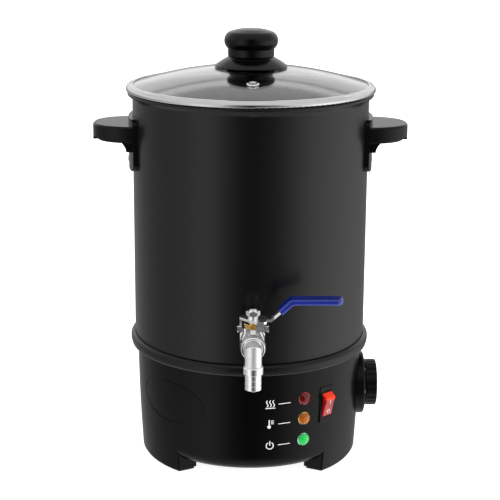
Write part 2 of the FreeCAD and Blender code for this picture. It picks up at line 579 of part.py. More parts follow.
# --- handles ----------------------------------------------------------------------
def handle():
    """Ear-shaped grip on a curved mounting plate, drawn at the front."""
    def ear(a, bx, n, z0, z1):
        pts = []
        for i in range(0, 41):
            t = math.pi * i / 40.0
            c, s = math.cos(t), math.sin(t)
            x = bx * (abs(c) ** (2.0 / n)) * (1 if c > 0 else -1)
            y = -112.0 - (a - 112.0) * (abs(s) ** (2.0 / n))
            pts.append(V(x, y, z0))
        sp = Part.BSplineCurve()
        sp.interpolate(pts)
        w = Part.Wire([sp.toShape(), Part.LineSegment(pts[-1], pts[0]).toShape()])
        return Part.Face(w).extrude(V(0, 0, z1 - z0))
    top = ear(GRIP_X, 37.5, 2.35, 334.2, GRIP_Z1)
    top = try_fillet(top, 2.6, lambda e: abs(mid(e).z - GRIP_Z1) < 0.01 and mid(e).y < -125)
    low = ear(GRIP_X - 4.3, 34.5, 2.35, GRIP_Z0 - 0.2, 336.0)
    low = try_fillet(low, 1.6, lambda e: abs(mid(e).z - GRIP_Z0 + 0.2) < 0.01 and mid(e).y < -125)
    lip = ear(GRIP_X, 37.5, 2.35, 330.2, 335.0).common(rounded_box(-5.0, 5.0, -170, -154.6, 329, 336, 1.2, "z"))
    grip = top.fuse([low, lip])
    # finger recess in the underside
    pocket = ear(GRIP_X - 9.0, 28.0, 2.3, 325.0, 338.6).common(box(-60, 60, -170, -129.0, 320, 345))
    grip = grip.cut(pocket)
    # mounting plate that follows the wall
    plate = rev((119.0, PLATE_Z0), [(124.2, PLATE_Z0), (124.2, PLATE_Z1), (119.0, PLATE_Z1)])
    mask = outward(rounded_box(-39.5, 39.5, PLATE_Z0, PLATE_Z1, 0, 200, 8.0, "z"), 0.0)
    plate = plate.common(mask)
    web = Part.Face(Part.makePolygon([V(0, -r, z) for r, z in ((118.5, 331.5), (129.6, 331.5), (129.2, 330.4), (127.4, 328.0), (125.9, 325.4), (124.9, 321.4), (118.5, 321.4), (118.5, 331.5))])).extrude(V(66, 0, 0))
    web = moved(web, -33.0, 0, 0)
    h = grip.fuse([plate, web])
    h = h.cut(cyl(POT_R + 0.15, 100, (0, 0, 280)))
    # screw holes through the plate
    for z in HS_Z:
        h = h.cut(outward(cyl(2.6, 30, (0, 0, 112)), z))
        h = h.cut(outward(cyl(5.2, 20, (0, 0, 122.6)), z) if z < 320 else outward(cyl(5.2, 6.0, (0, 0, 122.6)), z))
    h = max(h.Solids, key=lambda q: q.Volume)
    return h


hd = handle()
save("handle_right", at_az(hd, 90))
save("handle_left", at_az(hd, -90))
hs, hn = [], []
for s in (-1, 1):
    for z in HS_Z:
        q = rev((0, 110.0), [(2.45, 110.0), (2.45, 122.7), (4.4, 122.7), (4.3, 124.0), (2.6, 125.2), (0, 125.4)])
        q = q.cut(box(-3.0, 3.0, -0.5, 0.5, 124.3, 127)).cut(box(-0.5, 0.5, -3.0, 3.0, 124.3, 127))
        hs.append(at_az(outward(q, z), 90 * s))
        n = chamfered_hex(8.0, 3.6, 114.6, 0, 0.5).cut(cyl(2.5, 20, (0, 0, 105)))
        hn.append(at_az(outward(n, z), 90 * s))
save("handle_screws", hs)
save("handle_nuts", hn)

# --- tap ----------------------------------------------------------------------------
# valve body: threaded nipple, rear hexagon, ball chamber, bonnet with stop lugs
vb = rev((TAP_BORE, 106.5), [
    (9.3, 106.5), (9.9, 107.2), (9.9, 122.6), (11.8, 122.6), (11.8, 128.0),
    (10.4, 130.2), (10.4, 132.0), (11.8, 135.0), (12.4, 139.5), (12.4, 148.2), (11.7, 151.0), (9.5, 151.0), (9.5, 148.8), (8.35, 148.8), (8.35, 136.4), (TAP_BORE, 136.4)])
vb = vb.fuse(chamfered_hex(24.0, 5.5, 122.6, 30, 1.0).cut(cyl(10.5, 20, (0, 0, 115))))
vb = outward(vb, TAP_Z)
bon = cyl(8.8, 174.0 - TAP_Z, (0, -STEM_T, TAP_Z)).fuse(Part.makeCone(11.6, 9.0, 7.0, V(0, -STEM_T, TAP_Z + 7.6)))
bon = bon.fuse(rounded_box(-15.1, 15.1, -STEM_T - 2.6, -STEM_T + 2.6, 170.0, 173.6, 1.2, "z"))
lugs = rounded_box(-15.1, -11.1, -STEM_T - 2.6, -STEM_T + 2.6, 170.0, 176.0, 1.0, "x").fuse(rounded_box(11.1, 15.1, -STEM_T - 2.6, -STEM_T + 2.6, 170.0, 176.0, 1.0, "x"))
bon = bon.fuse(lugs)
bon = bon.common(box(-20, 20, -150.9, -130, 100, 200)).cut(outward(cyl(11.9, 30, (0, 0, 130)), TAP_Z))
vb = vb.fuse(bon)
vb = vb.cut(outward(cyl(8.35, 13.6, (0, 0, 136.4)), TAP_Z))
vb = vb.cut(cyl(4.06, 40, (0, -STEM_T, TAP_Z)))
vb = vb.cut(cyl(6.4, 10, (0, -STEM_T, 168.6)))
save("valve_body", vb.removeSplitter())

# outlet cap that closes the ball chamber, with the grooved front ring
cap = rev((8.35, 149.0), [
    (9.42, 149.0), (9.42, 151.1), (10.8, 151.1), (11.4, 151.7), (11.4, 155.2), (10.8, 155.9), (10.2, 155.9), (10.0, 155.2), (9.5, 155.2),
    (9.3, 156.3), (9.0, 156.6), (8.5, 156.6), (8.0, 156.1), (8.0, 154.4), (TAP_BORE, 154.4), (TAP_BORE, 153.6), (8.35, 153.6)])
save("valve_end_cap", outward(cap, TAP_Z))

ball_r = 7.4
ball_cut = Part.makeSphere(ball_r + 0.06, V(0, -STEM_T, TAP_Z))
seats = [outward(ring(8.3, 5.2, 136.5, 140.2), TAP_Z).cut(ball_cut), outward(ring(8.3, 5.2, 149.8, 153.5), TAP_Z).cut(ball_cut)]
save("valve_seats", seats)

ball = Part.makeSphere(ball_r, V(0, -STEM_T, TAP_Z)).cut(cyl(4.4, 40, (-20, -STEM_T, TAP_Z), (1, 0, 0)))
slot = box(-3.0, 3.0, -STEM_T - 1.3, -STEM_T + 1.3, TAP_Z + 5.4, TAP_Z + 9)
save("valve_ball", ball.cut(slot))
stem = cyl(4.0, 179.6 - TAP_Z - 7.6, (0, -STEM_T, TAP_Z + 7.6)).fuse(cyl(3.0, 12.0, (0, -STEM_T, 179.6)))
stem = stem.fuse(box(-2.9, 2.9, -STEM_T - 1.2, -STEM_T + 1.2, TAP_Z + 5.5, TAP_Z + 8.0))
stem = stem.fuse(rev((0, 190.0), [(3.0, 191.6), (2.2, 192.5), (0, 192.8)]).translated(V(0, -STEM_T, 0)))
save("valve_stem", stem)
pack = ring(6.3, 4.06, 168.7, 173.2)
save("stem_packing", moved(pack, 0, -STEM_T, 0))
gland = chamfered_hex(15.0, 4.6, 174.1, 12, 0.8).fuse(cyl(6.2, 1.0, (0, 0, 173.25))).cut(cyl(4.06, 20, (0, 0, 168)))
save("gland_nut", moved(gland, 0, -STEM_T, 0))

# washers and the lock nut inside the pot
wash = [outward(ring(11.9, 10.1, 120.1, 122.5), TAP_Z), outward(ring(14.5, 10.1, 115.2, 117.7), TAP_Z)]
save("valve_washers", wash)
save("valve_back_nut", outward(chamfered_hex(27.0, 6.0, 109.0, 0, 1.0).cut(cyl(9.95, 20, (0, 0, 100))), TAP_Z))

# spout: a short stub into a vertical tube whose head is flat on top with round shoulders, then the hose tail
head = cyl(SPOUT_R, SPOUT_TOP - 139.6, (0, -SPOUT_T, 139.6))
head = head.common(box(-20, 20, -190, -140, 130, 154.0).fuse(cyl(9.6, 40, (0, -190.0, 154.0), (0, 1, 0))))
head = try_fillet(head, 0.9, lambda e: mid(e).z > 157.0 and e.Length > 3.0)
elbow = head.fuse(cyl(7.65, SPOUT_T - 154.5, (0, -SPOUT_T, TAP_Z), (0, 1, 0)))
elbow = elbow.cut(cyl(SPOUT_BORE, TAP_Z - 130.0, (0, -SPOUT_T, 130.0)).fuse(Part.makeSphere(SPOUT_BORE, V(0, -SPOUT_T, TAP_Z))).fuse(cyl(SPOUT_BORE, 30.0, (0, -SPOUT_T, TAP_Z), (0, 1, 0))))
save("spout_elbow", elbow)
prof = [(7.4, BARB_Z0), (BARB_R, BARB_Z0 + 0.7)]
for i in (1, 2):
    zg = BARB_Z0 + BARB_PITCH * i
    prof += [(BARB_R, zg - 0.35), (BARB_R - 0.45, zg - 0.1), (BARB_R - 0.45, zg + 0.2), (BARB_R, zg + 0.45)]
prof += [(BARB_R, COLLAR_Z0 - 0.35), (BARB_R - 0.4, COLLAR_Z0 - 0.1), (BARB_R - 0.4, COLLAR_Z0 + 0.1), (9.3, COLLAR_Z0 + 0.1), (9.8, COLLAR_Z0 + 0.6), (9.8, COLLAR_Z1 - 0.6), (9.3, COLLAR_Z1),
         (SPOUT_R + 0.1, COLLAR_Z1), (SPOUT_R + 0.1, 139.5), (SPOUT_BORE, 139.5)]
save("hose_barb", moved(rev((SPOUT_BORE, BARB_Z0), prof), 0, -SPOUT_T, 0))

# lever: hub plate with a slanting front edge and two turned-down stop tabs, rising arm, level grip
LEV_T = 2.4
LZ = 180.2               # underside of the hub plate
hub_pts = [(-12.6, -134.2), (-12.6, -140.2), (-9.4, -143.2), (2.0, -155.4), (2.9, -156.2), (10.2, -156.2), (12.8, -153.8), (12.8, -136.6), (10.4, -134.2)]
hub = Part.Face(Part.makePolygon([V(x, y, LZ) for x, y in hub_pts + hub_pts[:1]])).extrude(V(0, 0, LEV_T))
hub = try_fillet(hub, 1.2, lambda e: abs(mid(e).z - LZ - LEV_T / 2) < 0.01 and mid(e).x > -11.0)
hub = hub.cut(cyl(3.06, 20, (0, -STEM_T, 170)))
tab_l = box(-12.6, -10.4, -141.9, -134.6, 172.8, LZ + 1.0)
tab_r = rounded_box(3.0, 10.2, -156.2, -153.9, 172.6, LZ + 1.6, 0.9, "y")
c = [(10.0, LZ + LEV_T / 2), (17.0, LZ + LEV_T / 2), (36.5, 200.4), (84.0, 200.4)]
def offset(points, d):
    out = []
    n = len(points)
    for i in range(n):
        if i == 0:
            a = b = (points[1][0] - points[0][0], points[1][1] - points[0][1])
        elif i == n - 1:
            a = b = (points[-1][0] - points[-2][0], points[-1][1] - points[-2][1])
        else:
            a = (points[i][0] - points[i - 1][0], points[i][1] - points[i - 1][1])
            b = (points[i + 1][0] - points[i][0], points[i + 1][1] - points[i][1])
        la, lb = math.hypot(*a), math.hypot(*b)
        na = (-a[1] / la, a[0] / la)
        nb = (-b[1] / lb, b[0] / lb)
        m = (na[0] + nb[0], na[1] + nb[1])
        lm = math.hypot(*m)
        m = (m[0] / lm, m[1] / lm)
        k = d / (m[0] * na[0] + m[1] * na[1])
        out.append((points[i][0] + m[0] * k, points[i][1] + m[1] * k))
    return out
def strip(points, half_t, half_w, round_r):
    up, dn = offset(points, half_t), offset(points, -half_t)
    pts = [V(x, -STEM_T - half_w, z) for x, z in up] + [V(x, -STEM_T - half_w, z) for x, z in reversed(dn)]
    s = Part.Face(Part.makePolygon(pts + [pts[0]])).extrude(V(0, 2 * half_w, 0))
    bends = points[1:-1]
    return try_fillet(s, round_r, lambda e: abs(mid(e).y + STEM_T) < 0.01 and min(math.hypot(mid(e).x - q[0], mid(e).z - q[1]) for q in bends) < half_t * 2.2)
def plan(pts):
    """Upright prism over an outline that is mirrored about the stem."""
    q = [V(x, -STEM_T - y, 150) for x, y in pts] + [V(x, -STEM_T + y, 150) for x, y in reversed(pts)]
    return Part.Face(Part.makePolygon(q + q[:1])).extrude(V(0, 0, 80))
arm = strip(c, LEV_T / 2, 6.2, 3.0)
arm = arm.common(plan([(9.0, 4.6), (13.0, 3.5), (20.0, 3.3), (29.0, 6.2), (79.0, 6.2), (83.0, 4.6), (84.0, 1.5)]))
lever = hub.fuse([tab_l, tab_r, arm])
save("lever_arm", lever.removeSplitter())
# moulded sleeve over the arm
GX0 = 26.0
GZ = 200.4
g0 = [(GX0, LZ + LEV_T / 2 + (GX0 - 17.0) * (GZ - LZ - LEV_T / 2) / 19.5), (36.5, GZ), (85.6, GZ)]
gr = strip(g0, 3.1, 8.0, 7.0)
gr = gr.common(rounded_box(20.0, 85.6, -STEM_T - 8.0, -STEM_T + 8.0, 150, 230, 7.0, "z"))
gr = try_fillet(gr, 2.6, lambda e: abs(abs(mid(e).y + STEM_T) - 8.0) < 0.01 and mid(e).x > 30)
gr = gr.cut(arm)
save("lever_grip", gr)
nut = chamfered_hex(11.6, 5.1, 186.0, 0, 0.9).fuse(ring(5.0, 3.0, LZ + LEV_T, 186.2)).fuse(ring(3.9, 3.0, 190.8, 192.0)).cut(cyl(3.02, 30, (0, 0, 170)))
save("stem_nut", moved(nut, 0, -STEM_T, 0))

# --- lid ------------------------------------------------------------------------------
def dome(r, off=0.0):
    return LID_APEX - off - r * r * LID_SAG
glass = rev((4.3, dome(4.3, GLASS_T)), [
    (60.0, dome(60.0, GLASS_T), GLASS_R - 0.6, dome(GLASS_R, GLASS_T)),
    (GLASS_R, dome(GLASS_R, GLASS_T) + 0.6),
    (GLASS_R, dome(GLASS_R) - 0.6),
    (GLASS_R - 0.6, dome(GLASS_R)),
    (60.0, dome(60.0), 4.3, dome(4.3))])
VENT_TILT = math.degrees(math.atan(2 * VENT_R * LID_SAG))
hole = cyl(4.25, 40, (0, -VENT_R, dome(VENT_R) - 20.0))
hole.rotate(V(0, -VENT_R, dome(VENT_R)), V(1, 0, 0), VENT_TILT)
glass = glass.cut(hole)
save("lid_glass", glass)

# rim: rolled channel round the glass, with a skirt that locates in the pot
zr = LID_RING_Z0
rim = rev((116.2, 375.2), [
    (117.3, 375.2), (117.3, zr), (125.7, zr), (126.3, zr + 0.4, LID_RING_R, zr + 1.1),
    (LID_RING_R, 382.8), (125.4, 384.9, 123.2, 385.9), (121.4, 386.7, 119.3, 386.9),
    (119.0, 386.55), (119.3, 386.2), (121.55, 385.9), (121.55, 381.1), (119.0, 381.1), (117.6, 381.5), (116.2, 381.0)])
save("lid_rim", rim)

vz = dome(VENT_R)
eye = rev((2.0, vz - 5.4), [(5.6, vz - 5.4), (5.6, vz - 4.9), (4.15, vz - 4.6), (4.15, vz + 0.35), (6.0, vz + 0.35), (6.1, vz + 0.8), (4.6, vz + 1.7), (2.6, vz + 1.6), (2.0, vz + 0.9)])
eye.translate(V(0, -VENT_R, 0))
# the eyelet leans with the glass
eye.rotate(V(0, -VENT_R, vz), V(1, 0, 0), VENT_TILT)
save("vent_eyelet", eye)

kb = rev((2.8, 405.2), [
    (35.6, 404.0), (36.6, 403.75), (37.15, 404.2, 36.9, 404.9),
    (30.4, 409.4, 23.8, 413.2), (22.8, 414.0), (2.8, 414.0)])
save("lid_knob_base", kb)
knob = rev((0, 441.7), [
    (12.0, 441.35, 19.7, 439.4),
    (25.3, 436.0, 27.1, 430.4),
    (26.6, 426.2, 24.6, 422.9),
    (23.5, 421.8), (23.5, 414.9), (22.9, 414.1), (2.1, 414.1), (2.1, 432.0), (0, 432.0)])
save("lid_knob", knob)
under = rev((2.8, 397.4), [(5.6, 397.4), (5.6, 395.2), (23.2, 395.2), (24.2, 396.2), (24.2, dome(24.2, GLASS_T) - 0.1), (4.0, dome(4.0, GLASS_T) - 0.1), (2.8, dome(2.8, GLASS_T) - 0.1)])
save("lid_knob_washer", under)
scr = rev((0, 393.4), [(3.6, 393.4), (4.8, 394.8), (4.8, 397.3), (2.05, 397.3), (2.05, 428.0), (0, 429.5)])
scr = scr.cut(box(-3.6, 3.6, -0.6, 0.6, 392, 395.0)).cut(box(-0.6, 0.6, -3.6, 3.6, 392, 395.0))
save("lid_knob_screw", scr)

# --- bracket that carries the thermostat ------------------------------------------------
save("thermostat_bracket", tbr)

allb = Part.makeCompound([q for v in NODES.values() for q in v]).BoundBox
print("nodes", len(NODES), "bbox x %.2f..%.2f y %.2f..%.2f z %.2f..%.2f" % (allb.XMin, allb.XMax, allb.YMin, allb.YMax, allb.ZMin, allb.ZMax))
print("y centre", 0.5 * (allb.YMin + allb.YMax))
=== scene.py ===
import bpy
import bmesh
import math
from mathutils import Matrix, Vector


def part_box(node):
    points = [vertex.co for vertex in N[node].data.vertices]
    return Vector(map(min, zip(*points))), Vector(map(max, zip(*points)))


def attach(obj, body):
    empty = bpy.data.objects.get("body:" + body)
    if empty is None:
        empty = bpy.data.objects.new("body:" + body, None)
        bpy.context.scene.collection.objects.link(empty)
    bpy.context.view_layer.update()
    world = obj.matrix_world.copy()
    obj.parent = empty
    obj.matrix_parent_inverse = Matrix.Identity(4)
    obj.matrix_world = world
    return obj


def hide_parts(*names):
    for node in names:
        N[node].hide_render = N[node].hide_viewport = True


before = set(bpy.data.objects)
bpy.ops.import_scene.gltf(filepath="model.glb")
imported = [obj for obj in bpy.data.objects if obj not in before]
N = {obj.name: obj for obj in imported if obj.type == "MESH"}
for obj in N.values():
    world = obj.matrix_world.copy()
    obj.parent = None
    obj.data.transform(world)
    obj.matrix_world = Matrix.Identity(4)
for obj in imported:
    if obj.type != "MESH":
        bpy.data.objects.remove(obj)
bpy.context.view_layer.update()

AXIS_Y = 0.0242            # the pot's axis, behind the origin
MM = 0.001


# ---------------------------------------------------------------- material kit
class Mat:
    """A Principled material and short calls for the nodes that feed it."""

    def __init__(self, name):
        self.m = bpy.data.materials.new(name)
        self.m.use_nodes = True
        self.t = self.m.node_tree
        self.t.nodes.clear()
        self.out = self.t.nodes.new("ShaderNodeOutputMaterial")
        self.b = self.t.nodes.new("ShaderNodeBsdfPrincipled")
        self.t.links.new(self.b.outputs[0], self.out.inputs[0])
        self.co = self.t.nodes.new("ShaderNodeTexCoord").outputs["Object"]

    def set(self, **kw):
        for k, v in kw.items():
            s = self.b.inputs[k.replace("_", " ")]
            if isinstance(v, bpy.types.NodeSocket):
                self.t.links.new(v, s)
            elif isinstance(v, (tuple, list)) and len(v) == 3:
                s.default_value = (*v, 1.0)
            else:
                s.default_value = v
        return self

    def node(self, kind, **kw):
        n = self.t.nodes.new("ShaderNode" + kind)
        for k, v in kw.items():
            setattr(n, k, v)
        return n

    def put(self, sock, v):
        if isinstance(v, bpy.types.NodeSocket):
            self.t.links.new(v, sock)
        elif isinstance(v, (tuple, list)) and len(v) == 3 and sock.type == "RGBA":
            sock.default_value = (*v, 1.0)
        else:
            sock.default_value = v

    def noise(self, scale, detail=3.0, rough=0.55, co=None, distort=0.0):
        n = self.node("TexNoise")
        self.put(n.inputs["Vector"], co or self.co)
        n.inputs["Scale"].default_value = scale
        n.inputs["Detail"].default_value = detail
        n.inputs["Roughness"].default_value = rough
        n.inputs["Distortion"].default_value = distort
        return n.outputs["Fac"]

    def voronoi(self, scale, feature="F1", co=None, out="Distance"):
        n = self.node("TexVoronoi", feature=feature)
        self.put(n.inputs["Vector"], co or self.co)
        n.inputs["Scale"].default_value = scale
        return n.outputs[out]

    def wave(self, scale, direction="Z", kind="BANDS", distort=0.0, co=None):
        n = self.node("TexWave", wave_type=kind)
        if kind == "BANDS":
            n.bands_direction = direction
        self.put(n.inputs["Vector"], co or self.co)
        n.inputs["Scale"].default_value = scale
        n.inputs["Distortion"].default_value = distort
        return n.outputs["Fac"]

    def stretch(self, x, y, z, co=None):
        n = self.node("Mapping")
        self.put(n.inputs["Vector"], co or self.co)
        n.inputs["Scale"].default_value = (x, y, z)
        return n.outputs[0]

    def math(self, op, a, b=0.0, clamp=False):
        n = self.node("Math", operation=op, use_clamp=clamp)
        self.put(n.inputs[0], a)
        if op not in ("SINE", "COSINE", "ABSOLUTE", "SQRT"):
            self.put(n.inputs[1], b)
        return n.outputs[0]

    def span(self, v, a, b, c, d):
        n = self.node("MapRange")
        self.put(n.inputs["Value"], v)
        for k, x in zip(("From Min", "From Max", "To Min", "To Max"), (a, b, c, d)):
            n.inputs[k].default_value = x
        return n.outputs["Result"]

    def smooth(self, v, a, b, c=0.0, d=1.0):
        n = self.node("MapRange", interpolation_type="SMOOTHSTEP")
        self.put(n.inputs["Value"], v)
        for k, x in zip(("From Min", "From Max", "To Min", "To Max"), (a, b, c, d)):
            n.inputs[k].default_value = x
        return n.outputs["Result"]

    def mix(self, f, a, b):
        n = self.node("Mix", data_type="RGBA")
        self.put(n.inputs["Factor"], f)
        self.put(n.inputs[6], a)
        self.put(n.inputs[7], b)
        return n.outputs[2]

    def bump(self, h, strength, dist, normal=None):
        n = self.node("Bump")
        self.put(n.inputs["Height"], h)
        n.inputs["Strength"].default_value = strength
        n.inputs["Distance"].default_value = dist
        if normal is not None:
            self.put(n.inputs["Normal"], normal)
        return n.outputs[0]

    def xyz(self, co=None):
        n = self.node("SeparateXYZ")
        self.put(n.inputs[0], co or self.co)
        return n.outputs[0], n.outputs[1], n.outputs[2]

    def shifted(self, x, y, z, co=None):
        n = self.node("VectorMath", operation="SUBTRACT")
        self.put(n.inputs[0], co or self.co)
        n.inputs[1].default_value = (x, y, z)
        return n.outputs[0]

    def length(self, v):
        n = self.node("VectorMath", operation="LENGTH")
        self.put(n.inputs[0], v)
        return n.outputs["Value"]

    def dot(self, v, w):
        n = self.node("VectorMath", operation="DOT_PRODUCT")
        self.put(n.inputs[0], v)
        n.inputs[1].default_value = w
        return n.outputs["Value"]

    def edge(self, lo=0.5, hi=0.6):
        """1 on convex edges, 0 elsewhere: for wear."""
        g = self.node("NewGeometry")
        return self.smooth(g.outputs["Pointiness"], lo, hi)

    def around(self, axis="Z", cx=0.0, cy=AXIS_Y):
        """Coordinates that run round an axis: (angle, height, radius)."""
        x, y, z = self.xyz()
        if axis == "Z":
            u, v, w = self.math("SUBTRACT", x, cx), self.math("SUBTRACT", y, cy), z
        elif axis == "X":
            u, v, w = self.math("SUBTRACT", y, cx), self.math("SUBTRACT", z, cy), x
        else:
            u, v, w = self.math("SUBTRACT", x, cx), self.math("SUBTRACT", z, cy), y
        r = self.math("SQRT", self.math("ADD", self.math("MULTIPLY", u, u), self.math("MULTIPLY", v, v)))
        a = self.math("ARCTAN2", v, u)
        return a, w, r

    def vec(self, x, y, z):
        n = self.node("CombineXYZ")
        for i, q in enumerate((x, y, z)):
            self.put(n.inputs[i], q)
        return n.outputs[0]


def coated_metal(name, col, rough, grain=1400.0, bump=0.12, spread=0.05, spec=0.5):
    m = Mat(name)
    big = m.noise(9.0, 2.0)
    fine = m.noise(grain, 2.0, 0.6)
    c = m.mix(m.span(big, 0.3, 0.7, 0.0, 1.0), tuple(v * 0.9 for v in col), tuple(min(1, v * 1.12) for v in col))
    r = m.math("ADD", m.span(fine, 0.3, 0.7, rough - spread, rough + spread), m.span(big, 0.3, 0.7, -0.02, 0.02))
    m.set(Base_Color=c, Roughness=r, Normal=m.bump(fine, bump, 0.00006))
    m.b.inputs["Specular IOR Level"].default_value = spec
    return m.m


def plastic(name, col, rough, grain=2200.0, bump=0.1, spec=0.5, spread=0.05, peel=0.0):
    m = Mat(name)
    big = m.noise(14.0, 2.0)
    fine = m.noise(grain, 2.0, 0.65)
    mid = m.noise(260.0, 2.0)
    c = m.mix(m.span(big, 0.35, 0.65, 0.0, 1.0), tuple(v * 0.88 for v in col), tuple(min(1, v * 1.12) for v in col))
    r = m.math("ADD", m.span(fine, 0.3, 0.7, rough - spread, rough + spread), m.span(mid, 0.3, 0.7, -0.02, 0.02))
    nrm = m.bump(fine, bump, 0.00004)
    if peel:
        nrm = m.bump(mid, peel, 0.0002, nrm)
    m.set(Base_Color=c, Roughness=r, Normal=nrm)
    m.b.inputs["Specular IOR Level"].default_value = spec
    return m.m


def metal(name, col, rough, wave=0.0, grain=900.0, tint=None, bump=0.06, spread=0.04):
    m = Mat(name)
    big = m.noise(60.0, 3.0)
    fine = m.noise(grain, 3.0, 0.6)
    c = m.mix(m.span(big, 0.35, 0.65, 0.0, 1.0), col, tint or tuple(v * 0.9 for v in col))
    r = m.math("ADD", m.span(fine, 0.3, 0.7, rough - spread, rough + spread), m.span(big, 0.3, 0.7, -0.02, 0.03), True)
    nrm = m.bump(fine, bump, 0.00003)
    if wave:
        nrm = m.bump(m.noise(130.0, 2.0), wave, 0.0004, nrm)
    m.set(Base_Color=c, Roughness=r, Normal=nrm, Metallic=1.0)
    return m.m


def turned(name, col, rough, axis, cx, cy, lines=5200.0, aniso=0.4, bump=0.08):
    """Metal with fine lines running round an axis."""
    m = Mat(name)
    a, w, r = m.around(axis, cx, cy)
    lin = m.noise(1.0, 2.0, 0.6, co=m.vec(m.math("MULTIPLY", a, 0.6), m.math("MULTIPLY", w, lines), m.math("MULTIPLY", r, lines)))
    big = m.noise(40.0, 2.0)
    c = m.mix(m.span(big, 0.3, 0.7, 0.0, 1.0), col, tuple(v * 0.92 for v in col))
    m.set(Base_Color=c, Metallic=1.0, Roughness=m.span(lin, 0.25, 0.75, max(0.02, rough - 0.06), rough + 0.08), Normal=m.bump(lin, bump, 0.00003))
    m.b.inputs["Anisotropic"].default_value = aniso
    return m.m


def brushed(name, col, rough, stretch=(40.0, 3000.0, 3000.0), bump=0.06, aniso=0.3):
    m = Mat(name)
    lin = m.noise(1.0, 3.0, 0.6, co=m.stretch(*stretch))
    big = m.noise(25.0, 3.0)
    c = m.mix(m.span(big, 0.3, 0.7, 0.0, 1.0), col, tuple(v * 0.85 for v in col))
    m.set(Base_Color=c, Metallic=1.0, Roughness=m.span(lin, 0.25, 0.75, rough - 0.07, rough + 0.09), Normal=m.bump(lin, bump, 0.00003))
    m.b.inputs["Anisotropic"].default_value = aniso
    return m.m


# ------------------------------------------------------------------- materials
MATS = {}


